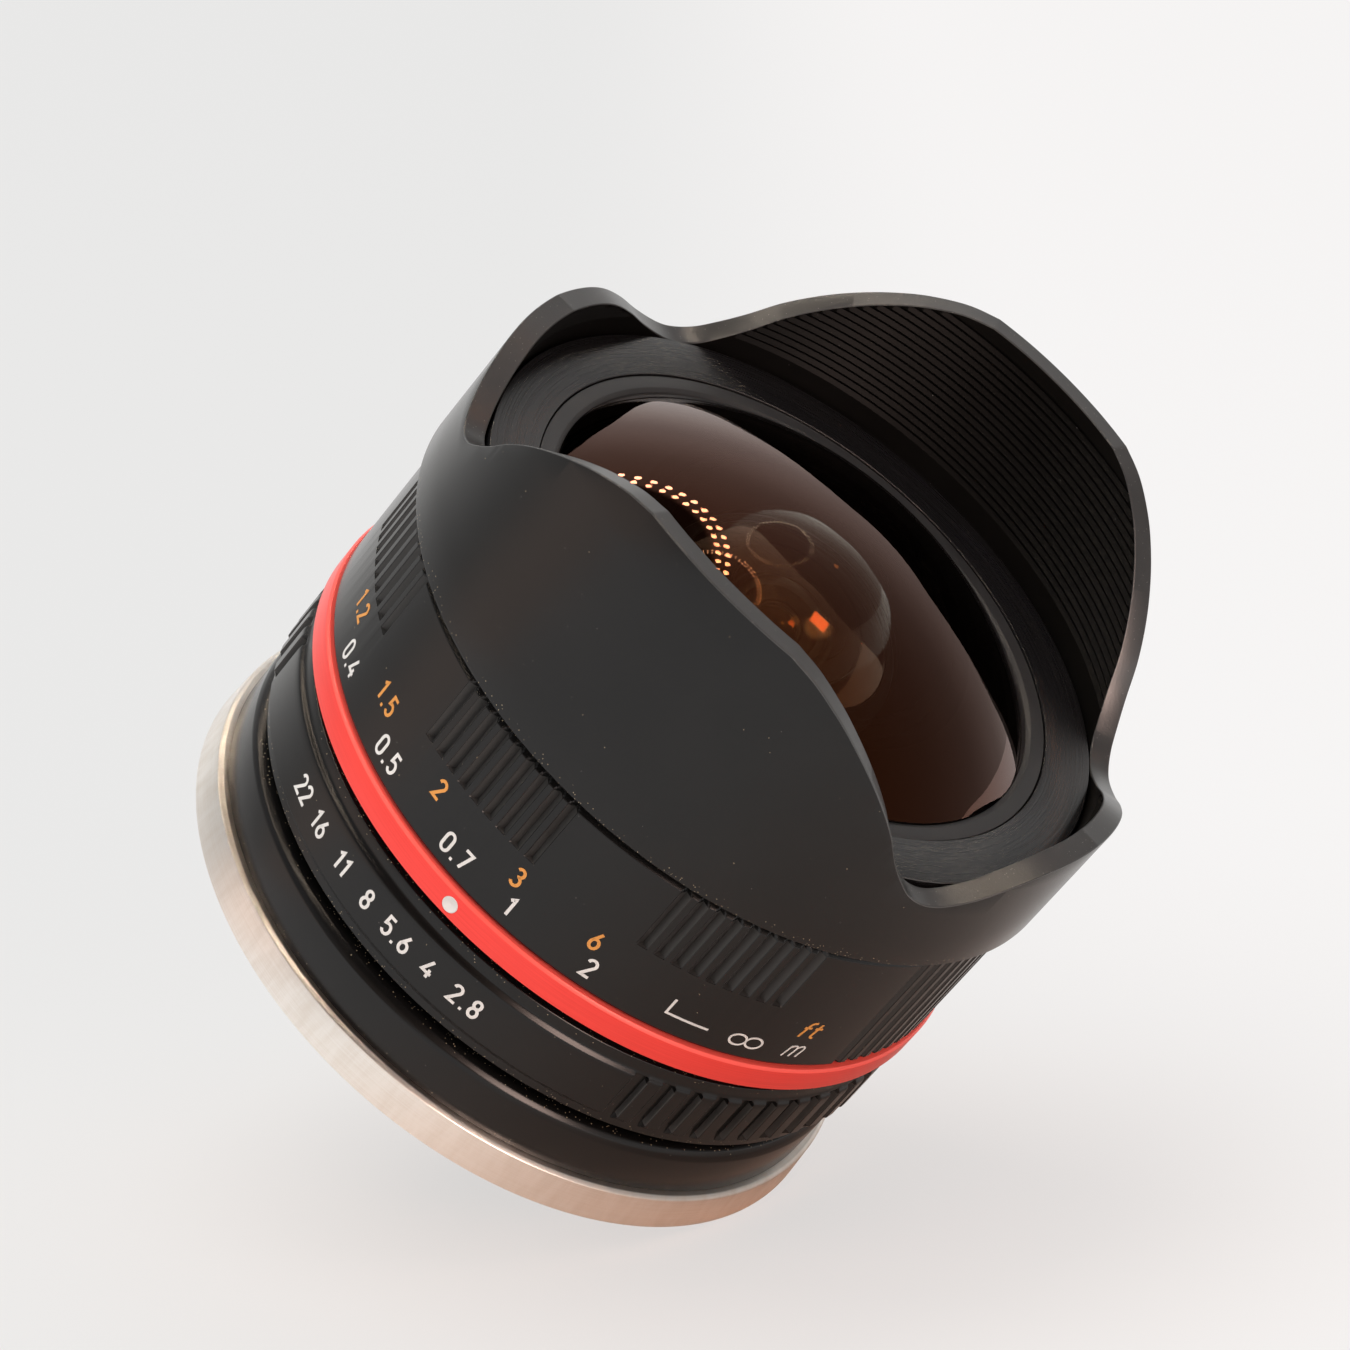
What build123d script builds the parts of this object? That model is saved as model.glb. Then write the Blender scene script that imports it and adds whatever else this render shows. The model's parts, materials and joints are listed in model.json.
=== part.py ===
from build123d import *
import os
from math import asin, cos, degrees, radians, sin, sqrt, tan

# A manual fisheye lens. +Z is the optical axis towards the subject, z = 0 is the seating face of
# the bayonet, and the index dot faces -Y. Millimetres and degrees. Every radius is built up from the
# barrel's bore by walls and steps, and every height from the seating face by lengths and gaps.

MM = 1.0
overrun = 2.0 * MM          # how far a cutter passes through what it cuts
run_clearance = 0.05 * MM   # radial play of everything that turns or slides
fit_clearance = 0.02 * MM   # radial play of what is screwed or pressed home
index_azimuth = -90.0

# Radii from the barrel's bore outwards
barrel_bore = 22.4 * MM
front_neck_wall = 2.2 * MM
rear_neck_wall = 4.2 * MM
collar_step = 2.0 * MM
red_wall = 1.4 * MM
hood_step = 0.85 * MM
barrel_front_radius = barrel_bore + front_neck_wall
barrel_rear_radius = barrel_bore + rear_neck_wall
collar_radius = barrel_rear_radius + collar_step
ring_radius = collar_radius + red_wall
hood_radius = ring_radius + hood_step
aperture_bore = barrel_rear_radius + run_clearance

# Heights of the rings, from the seating face to the focus ring
flange_front = 3.44 * MM
mount_barrel_length = 4.86 * MM
neck_show = 1.1 * MM
aperture_length = 7.5 * MM
ring_gap = 0.15 * MM
red_inset = 1.06 * MM
red_length = 2.39 * MM
mount_barrel_front = flange_front + mount_barrel_length
aperture_rear = mount_barrel_front + neck_show
aperture_front = aperture_rear + aperture_length
collar_rear = aperture_front + ring_gap
red_rear = collar_rear + red_inset
red_front = red_rear + red_length
collar_front = red_front + ring_gap
focus_rear = collar_front + ring_gap

# Heights inside, from the fork through the iris to the seats of the front glass
fork_rise = 2.2 * MM
fork_thickness = 1.2 * MM
tube_gap = 2.8 * MM
tube_web = 1.6 * MM
cover_thickness = 0.7 * MM
iris_gap = 0.1 * MM
iris_cam_thickness = 0.9 * MM
blade_count = 6
blade_thickness = 0.12 * MM
blade_gap = 0.08 * MM
housing_plate = 0.8 * MM
snout_gap = 0.3 * MM
second_glass_rise = 11.8 * MM
second_web = 0.85 * MM
front_glass_rise = 17.1 * MM
front_shoulder = 2.6 * MM
second_step = 0.7 * MM
fork_rear = aperture_rear + fork_rise
tube_rear = fork_rear + fork_thickness + tube_gap
tube_web_front = tube_rear + tube_web
cover_front = tube_web_front + cover_thickness
iris_cam_rear = cover_front + iris_gap
iris_cam_front = iris_cam_rear + iris_cam_thickness
blade_rear = iris_cam_front + iris_gap
housing_front = blade_rear + blade_count * (blade_thickness + blade_gap) + housing_plate
snout_rear = housing_front + snout_gap
second_glass_rear = snout_rear + second_glass_rise
second_seat_web = second_glass_rear - second_web
front_glass_rear = snout_rear + front_glass_rise
front_seat = front_glass_rear + front_shoulder
second_seat = front_glass_rear - second_step

# Heights of the hood, hung below the front cell; the focus ring fills what is left
cell_floor = 2.0 * MM
cell_travel_gap = 0.4 * MM
hood_web = 1.2 * MM
hood_web_gap = 0.6 * MM
hood_skirt = 1.38 * MM
hood_gap = 0.32 * MM
notch_rise = 4.6 * MM
small_petal_rise = 4.5 * MM
large_petal_rise = 15.3 * MM
cell_rear = front_glass_rear - cell_floor
hood_seat = cell_rear - cell_travel_gap
hood_floor = hood_seat + hood_web
hood_web_rear = hood_seat - hood_web_gap
hood_rear = hood_seat - hood_skirt
focus_front = hood_rear - hood_gap
notch_bottom = hood_floor + notch_rise
small_petal_tip = notch_bottom + small_petal_rise
large_petal_tip = notch_bottom + large_petal_rise

# Bayonet mount: chromed flange with a spigot and three tabs
flange_step = 0.18 * MM
flange_flare = 0.37 * MM
flange_edge = 0.25 * MM
flange_front_radius = ring_radius + flange_step
flange_rear_radius = flange_front_radius + flange_flare
spigot_inset = 0.55 * MM
spigot_wall = 1.65 * MM
spigot_length = 4.4 * MM
spigot_radius = barrel_bore - spigot_inset
spigot_bore = spigot_radius - spigot_wall
tab_reach = 1.05 * MM
tab_thickness = 1.5 * MM
tab_radius = spigot_radius + tab_reach
tab_centres = (30.0, 150.0, 265.0)
tab_widths = (56.0, 50.0, 44.0)
relief_width = 1.75 * MM
relief_depth = 0.5 * MM
relief_radius = spigot_radius + relief_width
lip_reach = 1.6 * MM
lip_thickness = 1.2 * MM
lip_bore = spigot_bore - lip_reach

# Countersunk screws that hold the mount, and the lock slot on their circle
mount_screw_inset = 3.58 * MM
mount_screw_circle = flange_front_radius - mount_screw_inset
mount_screw_count = 4
mount_screw_start = 45.0
mount_screw_head = 1.9 * MM
mount_screw_shank = 1.0 * MM
mount_screw_grip = 2.56 * MM
mount_screw_end = flange_front + mount_screw_grip
screw_recess = 0.1 * MM     # how far a head lies under the face around it
cross_width = 0.35 * MM
cross_depth = 0.5 * MM
cross_share = 1.2           # span of the cross over the head's radius
lock_slot_length = 5.0 * MM
lock_slot_width = 2.6 * MM
lock_slot_depth = 1.6 * MM
lock_slot_azimuth = 190.0

# Rear baffle with its picture-shaped window
baffle_reach = 2.2 * MM
baffle_rear = spigot_length + baffle_reach
baffle_plate = 1.0 * MM
baffle_wall = 1.2 * MM
window_width = 25.0 * MM
window_height = 18.0 * MM
window_corner = 2.0 * MM
baffle_boss_radius = 1.7 * MM
baffle_boss_inset = 2.3 * MM
baffle_boss_circle = spigot_bore - baffle_boss_inset
baffle_screw_count = 3
baffle_screw_start = 90.0
baffle_screw_head = 1.2 * MM
baffle_screw_head_height = 0.8 * MM
baffle_screw_shank = 0.6 * MM
baffle_screw_sink = 1.1 * MM

# Rear barrel, between the mount and the aperture ring
mount_barrel_inset = 0.5 * MM
mount_barrel_lip = 0.4 * MM
mount_barrel_radius = ring_radius - mount_barrel_inset
mount_barrel_bore = barrel_bore - mount_barrel_lip
mount_barrel_round = 0.7 * MM
mount_dot_radius = 0.9 * MM
mount_dot_depth = 0.3 * MM
mount_dot_azimuth = 36.0
barrel_screw_inset = 2.0 * MM
barrel_screw_circle = barrel_bore + barrel_screw_inset
barrel_screw_count = 4
barrel_screw_head = 1.5 * MM
barrel_screw_head_height = 1.0 * MM
barrel_screw_sink = 1.4 * MM
barrel_screw_shank = 0.8 * MM
barrel_screw_grip = 2.6 * MM
barrel_screw_end = mount_barrel_front + barrel_screw_grip

# Red ring and its index dot
red_lip = 0.32 * MM
red_rear_radius = ring_radius + red_lip
red_bevel_height = 0.5 * MM
index_dot_radius = 0.72 * MM
index_dot_depth = 0.4 * MM
index_dot_rise = 1.04 * MM
index_dot_height = red_rear + index_dot_rise

# Aperture ring: a grip and a number panel that step down to a lower front collar
rib_depth = 0.6 * MM
rib_start = 0.8 * MM
rib_slope_height = 0.7 * MM
aperture_band = 0.9 * MM
aperture_bevel = 0.5 * MM
aperture_drop = 0.5 * MM
aperture_edge = 0.15 * MM
aperture_floor_radius = ring_radius - rib_depth
aperture_collar_radius = ring_radius - aperture_drop
aperture_bevel_front = aperture_front - aperture_band
aperture_bevel_rear = aperture_bevel_front - aperture_bevel
rib_rear = aperture_rear + rib_start
rib_pitch = 5.0
rib_groove_angle = 2.6
panel_start = -58.5
panel_end = 38.4
aperture_travel = 43.7      # degrees from wide open to fully stopped down
aperture_rest = 11.0        # degrees from wide open to the place the ring is stored in

# Click stops of the aperture ring
click_count = 7
click_step = 7.283
click_inset = 1.3 * MM
click_height = aperture_front - click_inset
click_azimuth = 120.0
click_depth = 0.3 * MM
ball_radius = 0.75 * MM
spring_floor = 0.4 * MM
spring_length = rear_neck_wall - 2 * (ball_radius + run_clearance) - spring_floor
spring_wire = 0.24 * MM
spring_turns = 5

# Iris
blade_inner = 5.0 * MM
blade_outer = 9.0 * MM
blade_span = 118.0
closed_radius = 0.6 * MM
pivot_circle = 10.0 * MM
pivot_radius = 0.35 * MM
drive_distance = 2.6 * MM
drive_angle = -100.0
ear_radius = 0.85 * MM
iris_cam_radius = 13.4 * MM
iris_cam_bore = 8.9 * MM
housing_wall = 1.2 * MM
housing_radius = iris_cam_radius + housing_wall
housing_stop = 4.7 * MM
housing_foot_reach = 2.4 * MM
housing_foot_radius = housing_radius + housing_foot_reach
housing_foot_height = 0.8 * MM
iris_screw_circle = (housing_radius + housing_foot_radius) / 2
iris_screw_count = 3
iris_screw_start = 60.0
iris_screw_head = 0.9 * MM
iris_screw_head_height = 0.5 * MM
iris_screw_shank = 0.5 * MM
iris_screw_grip = 1.2 * MM
iris_screw_end = tube_web_front - iris_screw_grip

# Fork that the aperture ring carries, and the pin of the iris that it drives
fork_azimuth = 180.0
fork_width = 4.4 * MM
fork_lap = 1.75 * MM
fork_outer = aperture_bore + fork_lap
fork_window_play = 0.25 * MM
fork_screw_inset = 0.85 * MM
fork_screw_circle = aperture_bore + fork_screw_inset
fork_screw_spread = 1.2 * MM
fork_screw_head = 0.8 * MM
fork_screw_head_height = 0.5 * MM
fork_screw_shank = 0.4 * MM
fork_screw_length = 2.6 * MM
lever_inset = 1.1 * MM
lever_circle = iris_cam_radius - lever_inset
lever_radius = 0.6 * MM
lever_reach = 0.6 * MM
lever_rear = fork_rear - lever_reach
fork_prong = 1.4 * MM
fork_inner = lever_circle - fork_prong
fork_slot_length = 3.8 * MM

# Focus ring: nine-groove grips, short ones beside the scales
focus_chamfer_height = 0.8 * MM
focus_chamfer_depth = 0.8 * MM
focus_chamfer_rear = focus_front - focus_chamfer_height
focus_front_radius = ring_radius - focus_chamfer_depth
grip_groups = 8
grip_pitch = 45.0
grip_centre = -7.5
grip_groove_count = 9
grip_groove_pitch = 3.0
grip_groove_width = 1.0 * MM
grip_groove_depth = 0.62 * MM
short_grip_rise = 6.4 * MM
short_grip_rear = focus_rear + short_grip_rise
short_grips = (-1, 0, 1)
focus_to_infinity = 35.3    # degrees of the ring from its stored place to the infinity stop
focus_to_nearest = 80.0     # degrees of the ring from its stored place to the near stop
focus_extension = 0.28 * MM # forward travel of the optics over the whole scale

# Cam ring inside the focus ring, with two slots for the followers
cam_wall = 1.85 * MM
cam_gap = 0.1 * MM
cam_flange = 1.0 * MM
cam_bore = barrel_front_radius + run_clearance
cam_radius = cam_bore + cam_wall
focus_bore = cam_radius + fit_clearance
cam_rear = collar_front + cam_gap
cam_flange_front = focus_front + cam_flange
cam_screw_inset = 1.33 * MM
cam_screw_circle = focus_bore + cam_screw_inset
cam_screw_count = 6
cam_screw_head = 1.05 * MM
cam_screw_shank = 0.55 * MM
cam_screw_grip = 3.1 * MM
cam_screw_end = focus_front - cam_screw_grip
follower_offset = 6.7 * MM
follower_height = focus_rear + follower_offset
follower_radius = 1.2 * MM
follower_count = 2
follower_start = 0.0
follower_thread = 2.0 * MM
follower_play = 0.15 * MM
follower_end_gap = 0.15 * MM
slot_margin = 0.4           # degrees left over at each end of a cam slot

# Focus stop pin in the collar, running in a groove of the cam ring
stop_inset = 1.0 * MM
stop_circle = barrel_front_radius + stop_inset
stop_radius = 0.45 * MM
stop_depth = 2.0 * MM
stop_reach = 0.8 * MM
stop_azimuth = 90.0

# Hood with four notches and turned ridges inside
hood_wall = 1.95 * MM
hood_skirt_wall = 1.45 * MM
hood_lip_step = 0.1 * MM
hood_bore = hood_radius - hood_wall
hood_skirt_bore = hood_radius - hood_skirt_wall
hood_lip_bore = barrel_bore + hood_lip_step
hood_edge = 0.25 * MM
ridge_count = 17
ridge_depth = 0.28 * MM
ridge_rise = 6.7 * MM
rim_band = 1.3 * MM
ridge_first = hood_floor + ridge_rise
ridge_pitch = (large_petal_tip - rim_band - ridge_first) / ridge_count
notch_azimuth = 57.0
notch_lap = 1.0             # degrees by which two notches pass the middle of a small petal
hood_screw_inset = 1.15 * MM
hood_screw_circle = barrel_bore + hood_screw_inset
hood_screw_count = 4
hood_screw_start = 45.0
hood_screw_head = 1.0 * MM
hood_screw_shank = 0.6 * MM
hood_screw_grip = 4.0 * MM
hood_screw_end = hood_seat - hood_screw_grip
# A flank of the rim as (degrees from the notch's middle, share of the petal's height)
large_flank_shares = ((-43.0, 1.0), (-33.0, 0.875), (-24.0, 0.673), (-14.2, 0.379), (-7.1, 0.118))
small_flank_shares = ((6.0, 0.15), (14.0, 0.567), (21.0, 0.85), (33.0, 1.0))

# Front cell, name ring and the rings that hold the glass
name_ring_gap = 0.28 * MM
name_ring_width = 4.42 * MM
name_ring_play = 0.1 * MM
name_ring_rise = 0.85 * MM
name_ring_edge = 0.12 * MM
cell_step = 0.32 * MM
cell_height = 2.9 * MM
cell_neck_gap = 0.3 * MM
retainer_rise = 0.7 * MM
retainer_sink = 0.9 * MM
retainer_lap = 1.75 * MM
glass_step = 1.0 * MM
thread_step = 0.5 * MM
snout_wall = 1.08 * MM
second_web_bore = 7.0 * MM
second_retainer_height = 1.0 * MM
group_retainer_gap = 0.2 * MM
name_ring_radius = hood_bore - name_ring_gap
cell_radius = name_ring_radius - cell_step
retainer_radius = name_ring_radius - name_ring_width
front_edge_radius = retainer_radius - glass_step
front_clear_radius = retainer_radius - retainer_lap
cell_neck_radius = hood_lip_bore - cell_neck_gap
cell_cup_rear = second_seat
cell_front = front_glass_rear + cell_height
name_ring_front = cell_front + name_ring_rise
retainer_front = cell_front + retainer_rise
retainer_rear = cell_front - retainer_sink
second_retainer_front = second_seat + second_retainer_height
group_retainer_rear = snout_rear + group_retainer_gap

# Inner tube that slides in the barrel and carries the iris and both cells
tube_wall = 1.35 * MM
tube_band_wall = 3.35 * MM
tube_rim_wall = 4.85 * MM
tube_band_half = 2.3 * MM
tube_rim_height = 3.0 * MM
tube_radius = barrel_bore - run_clearance
tube_bore = tube_radius - tube_wall
tube_band_bore = tube_radius - tube_band_wall
tube_rim_bore = tube_radius - tube_rim_wall
tube_band_rear = follower_height - tube_band_half
tube_band_front = follower_height + tube_band_half
tube_rim_rear = cell_rear - tube_rim_height
cell_screw_inset = 2.45 * MM
cell_screw_circle = tube_radius - cell_screw_inset
cell_screw_count = 3
cell_screw_head = 1.3 * MM
cell_screw_shank = 0.7 * MM
cell_screw_grip = 2.6 * MM
cell_screw_end = cell_rear - cell_screw_grip

# Glass edges, the front dome's fall to its rim, and the rear element's hollow seat
second_edge_radius = 12.0 * MM
relay_edge_radius = 7.6 * MM
sixth_edge_radius = 5.8 * MM
eighth_edge_radius = 6.4 * MM
ninth_edge_radius = 7.2 * MM
rear_edge_radius = 7.6 * MM
second_lap = 0.8 * MM
second_clear_radius = second_edge_radius - second_lap
dome_fall = 7.86 * MM
dome_radius = (front_clear_radius**2 + dome_fall**2) / (2 * dome_fall)

# Rear cell with the spacers between its groups
rear_cell_neck = 9.58 * MM
rear_cell_step = 0.5 * MM
rear_cell_front = tube_web_front + rear_cell_step
rear_cell_shoulder_reach = 1.22 * MM
rear_cell_shoulder = rear_cell_neck + rear_cell_shoulder_reach
rear_cell_shoulder_height = 1.0 * MM
rear_cell_wall = 1.38 * MM
rear_cell_radius = rear_edge_radius + fit_clearance + rear_cell_wall
rear_cell_length = 15.4 * MM
rear_cell_rear = tube_rear - rear_cell_length
rear_cell_opening = 5.2 * MM
rear_retainer_height = 0.9 * MM
spacer_wall = 0.8 * MM


def element(datum, front, front_curve, rear, rear_curve, edge):
    """Heights of the two apexes above a datum, radii of curvature (positive is bulging forwards), edge."""
    return (datum + front, front_curve, datum + rear, rear_curve, edge)


glass = {
    "front_element": element(snout_rear, 28.5 * MM, dome_radius, 25.9 * MM, 14.2 * MM, front_edge_radius),
    "second_element": element(snout_rear, 18.7 * MM, 45.0 * MM, 17.1 * MM, 9.6 * MM, second_edge_radius),
    "third_element": element(snout_rear, 9.9 * MM, -28.0 * MM, 8.7 * MM, 10.5 * MM, relay_edge_radius),
    "fourth_element": element(snout_rear, 8.7 * MM, 10.5 * MM, 3.5 * MM, -24.0 * MM, relay_edge_radius),
    "fifth_element": element(snout_rear, 2.7 * MM, 26.0 * MM, 0.1 * MM, -30.0 * MM, relay_edge_radius),
    "sixth_element": element(tube_rear, 0.8 * MM, -20.0 * MM, -0.2 * MM, 11.0 * MM, sixth_edge_radius),
    "seventh_element": element(tube_rear, -0.2 * MM, 11.0 * MM, -3.4 * MM, -16.0 * MM, sixth_edge_radius),
    "eighth_element": element(tube_rear, -4.0 * MM, 40.0 * MM, -6.2 * MM, -22.0 * MM, eighth_edge_radius),
    "ninth_element": element(tube_rear, -6.8 * MM, 30.0 * MM, -10.2 * MM, -14.0 * MM, ninth_edge_radius),
    "tenth_element": element(tube_rear, -10.2 * MM, -14.0 * MM, -11.2 * MM, 60.0 * MM, ninth_edge_radius),
    "rear_element": element(tube_rear, -12.0 * MM, 22.0 * MM, -14.1 * MM, -40.0 * MM, rear_edge_radius),
}


def sag(curvature, radius):
    """Drop of a spherical face from its apex to a radius, negative where it rises."""
    size = abs(curvature)
    drop = size - sqrt(size**2 - radius**2)
    return drop if curvature > 0 else -drop


def edge_height(name, face, radius=None):
    """Height at which a glass element's front (0) or rear (1) face meets a radius."""
    apex, curvature = glass[name][2 * face : 2 * face + 2]
    return apex - sag(curvature, glass[name][4] if radius is None else radius)


def seat_height(name, face, inner):
    """Height at which a flat ring from an inner radius to the edge touches an element's face."""
    heights = (edge_height(name, face, inner), edge_height(name, face))
    return min(heights) if face else max(heights)


def around(radius, azimuth, height=0.0):
    """A point at a radius and azimuth about the optical axis."""
    return (radius * cos(radians(azimuth)), radius * sin(radians(azimuth)), height)


def turn(*outline, mode=Mode.ADD):
    """Turn a closed (radius, height) outline about the optical axis into the current part."""
    with BuildSketch(Plane.XZ) as section:
        with BuildLine():
            Polyline(*outline, close=True)
        make_face()
    revolve(section.sketch, axis=Axis.Z, mode=mode)


def tube(inner, outer, rear, front, mode=Mode.ADD):
    """Turn a plain tube about the optical axis into the current part."""
    turn((inner, rear), (outer, rear), (outer, front), (inner, front), mode=mode)


def arc_slot(radius, half_width, first, last, rear, front):
    """Cut a round-ended slot along an arc about the optical axis out of the current part."""
    with BuildSketch(Plane.XY.offset(rear)) as slot:
        SlotArc(CenterArc((0, 0), radius, first, last - first).edge(), 2 * half_width)
    extrude(slot.sketch, amount=front - rear, mode=Mode.SUBTRACT)


def drill(radius, places, rear, front):
    """Drill round holes along the optical axis at the given locations out of the current part."""
    with BuildSketch(Plane.XY.offset(rear)) as holes:
        with places:
            Circle(radius)
    extrude(holes.sketch, amount=front - rear, mode=Mode.SUBTRACT)


def lifted(solid, height):
    """A copy of a solid raised along the optical axis."""
    return solid.moved(Location((0, 0, height)))


def facing(azimuth, radius, height):
    """A plane that looks outwards at an azimuth, its origin at a radius and a height."""
    return Plane(origin=around(radius, azimuth, height), z_dir=around(1, azimuth))


def countersunk_screw(head, shank, length):
    """A cross-recessed countersunk screw: head face at z = 0, point at z = length."""
    cone = head - shank
    with BuildPart() as screw:
        turn((0, 0), (head, 0), (shank, cone), (shank, length), (0, length))
        with BuildSketch() as cross:
            Rectangle(head * cross_share, cross_width)
            Rectangle(cross_width, head * cross_share)
        extrude(cross.sketch, amount=min(cross_depth, cone), mode=Mode.SUBTRACT)
    return screw.part


def pan_screw(head, head_height, shank, length):
    """A slotted pan-head screw: seat of the head at z = 0, point at z = length."""
    with BuildPart() as screw:
        turn((0, -head_height), (head, -head_height), (head, 0), (shank, 0), (shank, length), (0, length))
        with BuildSketch(Plane.XY.offset(-head_height)) as slot:
            Rectangle(head * 2 + overrun, cross_width)
        extrude(slot.sketch, amount=head_height / 2, mode=Mode.SUBTRACT)
    return screw.part


def countersink(head, shank, places, face, depth, direction):
    """Cut countersunk holes that open in a face; direction is +1 where they run forwards."""
    wide = head + fit_clearance
    narrow = shank + fit_clearance
    cone = wide - narrow
    with BuildPart() as hole:
        turn((0, -overrun), (wide, -overrun), (wide, screw_recess), (narrow, screw_recess + cone),
             (narrow, depth + overrun), (0, depth + overrun))
    tool = hole.part if direction > 0 else hole.part.rotate(Axis.X, 180)
    with places:
        add(lifted(tool, face), mode=Mode.SUBTRACT)


def glass_element(name, front_step=None, rear_step=None):
    """A lens element; a step is (clear radius, height of the seat outside it)."""
    front, front_curve, rear, rear_curve, edge = glass[name]
    front_clear, front_height = front_step or (edge, edge_height(name, 0))
    rear_clear, rear_height = rear_step or (edge, edge_height(name, 1))
    with BuildPart() as lens:
        with BuildSketch(Plane.XZ) as section:
            with BuildLine():
                half = front_clear / 2
                ThreePointArc((0, front), (half, front - sag(front_curve, half)),
                              (front_clear, front - sag(front_curve, front_clear)))
                if front_step:
                    Line((front_clear, edge_height(name, 0, front_clear)), (front_clear, front_height))
                    Line((front_clear, front_height), (edge, front_height))
                Line((edge, front_height), (edge, rear_height))
                if rear_step:
                    Line((edge, rear_height), (rear_clear, rear_height))
                half = rear_clear / 2
                ThreePointArc((rear_clear, rear - sag(rear_curve, rear_clear)),
                              (half, rear - sag(rear_curve, half)), (0, rear))
                Line((0, rear), (0, front))
            make_face()
        revolve(section.sketch, axis=Axis.Z)
    return lens.part


pieces = []


def keep(builder, name):
    """Label a finished piece and put it on the list of pieces to write."""
    builder.part.label = name
    pieces.append(builder.part)


mount_screw_places = PolarLocations(mount_screw_circle, mount_screw_count, mount_screw_start)
barrel_screw_places = PolarLocations(barrel_screw_circle, barrel_screw_count)
baffle_screw_places = PolarLocations(baffle_boss_circle, baffle_screw_count, baffle_screw_start)
fork_screw_places = Locations(
    (-fork_screw_circle, -fork_screw_spread), (-fork_screw_circle, fork_screw_spread))
cam_screw_places = PolarLocations(cam_screw_circle, cam_screw_count)
hood_screw_places = PolarLocations(hood_screw_circle, hood_screw_count, hood_screw_start)
cell_screw_places = PolarLocations(cell_screw_circle, cell_screw_count)
iris_screw_places = PolarLocations(iris_screw_circle, iris_screw_count, iris_screw_start)

# Bayonet mount
with BuildPart() as bayonet_mount:
    turn((spigot_bore, -spigot_length), (spigot_radius, -spigot_length), (spigot_radius, relief_depth),
         (relief_radius, relief_depth), (relief_radius, 0), (flange_rear_radius, 0),
         (flange_front_radius + flange_edge / 2, flange_front - flange_edge),
         (flange_front_radius - flange_edge, flange_front), (lip_bore, flange_front),
         (lip_bore, flange_front - lip_thickness), (spigot_bore, flange_front - lip_thickness))
    for centre, width in zip(tab_centres, tab_widths):
        with BuildSketch(Plane.XZ.rotated((0, 0, centre - width / 2))) as tab:
            with BuildLine():
                Polyline((spigot_bore, -spigot_length), (tab_radius, -spigot_length),
                         (tab_radius, tab_thickness - spigot_length),
                         (spigot_bore, tab_thickness - spigot_length), close=True)
            make_face()
        revolve(tab.sketch, axis=Axis.Z, revolution_arc=width)
    countersink(mount_screw_head, mount_screw_shank, mount_screw_places, 0, flange_front, 1)
    with BuildSketch() as lock_slot:
        with PolarLocations(mount_screw_circle, 1, lock_slot_azimuth):
            SlotOverall(lock_slot_length, lock_slot_width, rotation=90)
    extrude(lock_slot.sketch, amount=lock_slot_depth, mode=Mode.SUBTRACT)
    drill(baffle_screw_shank + fit_clearance, baffle_screw_places, 0, flange_front + overrun)
keep(bayonet_mount, "bayonet_mount")

with BuildPart() as mount_screws:
    screw = countersunk_screw(mount_screw_head, mount_screw_shank, mount_screw_end - screw_recess)
    with mount_screw_places:
        add(lifted(screw, screw_recess))
keep(mount_screws, "mount_screws")

# Rear baffle
baffle_seat = flange_front - lip_thickness
with BuildPart() as rear_baffle:
    skirt = spigot_bore - fit_clearance
    turn((0, -baffle_rear), (skirt, -baffle_rear), (skirt, baffle_seat),
         (skirt - baffle_wall, baffle_seat), (skirt - baffle_wall, baffle_plate - baffle_rear),
         (0, baffle_plate - baffle_rear))
    with BuildSketch(Plane.XY.offset(-baffle_rear)) as bosses:
        with baffle_screw_places:
            Circle(baffle_boss_radius)
    extrude(bosses.sketch, amount=baffle_rear + baffle_seat)
    with BuildSketch(Plane.XY.offset(-baffle_rear)) as window:
        RectangleRounded(window_width, window_height, window_corner)
    extrude(window.sketch, amount=baffle_plate, mode=Mode.SUBTRACT)
    drill(baffle_screw_head + fit_clearance, baffle_screw_places, -baffle_rear - overrun,
          baffle_screw_sink - baffle_rear)
    drill(baffle_screw_shank + fit_clearance, baffle_screw_places, -baffle_rear, baffle_seat + overrun)
keep(rear_baffle, "rear_baffle")

with BuildPart() as baffle_screws:
    screw = pan_screw(baffle_screw_head, baffle_screw_head_height, baffle_screw_shank,
                      baffle_rear - baffle_screw_sink + flange_front)
    with baffle_screw_places:
        add(lifted(screw, baffle_screw_sink - baffle_rear))
keep(baffle_screws, "baffle_screws")

# Rear barrel and its screws
barrel_screw_seat = flange_front + barrel_screw_sink
with BuildPart() as mount_barrel:
    tube(mount_barrel_bore, mount_barrel_radius, flange_front, mount_barrel_front)
    front_edges = mount_barrel.edges().filter_by(GeomType.CIRCLE).group_by(Axis.Z)[-1]
    fillet(front_edges.sort_by(SortBy.RADIUS)[-1], mount_barrel_round)
    drill(mount_screw_shank + fit_clearance, mount_screw_places, flange_front, mount_screw_end)
    drill(barrel_screw_head + fit_clearance, barrel_screw_places, flange_front, barrel_screw_seat)
    drill(barrel_screw_shank + fit_clearance, barrel_screw_places, flange_front, mount_barrel_front)
    dot_height = (flange_front + mount_barrel_front) / 2
    dot_foot = facing(mount_dot_azimuth, mount_barrel_radius - mount_dot_depth, dot_height)
    with BuildSketch(dot_foot) as dot:
        Circle(mount_dot_radius)
    extrude(dot.sketch, amount=overrun, mode=Mode.SUBTRACT)
keep(mount_barrel, "mount_barrel")

with BuildPart() as mount_index_dot:
    with BuildSketch(dot_foot) as dot:
        Circle(mount_dot_radius - fit_clearance)
    extrude(dot.sketch, amount=mount_dot_depth)
keep(mount_index_dot, "mount_index_dot")

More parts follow.
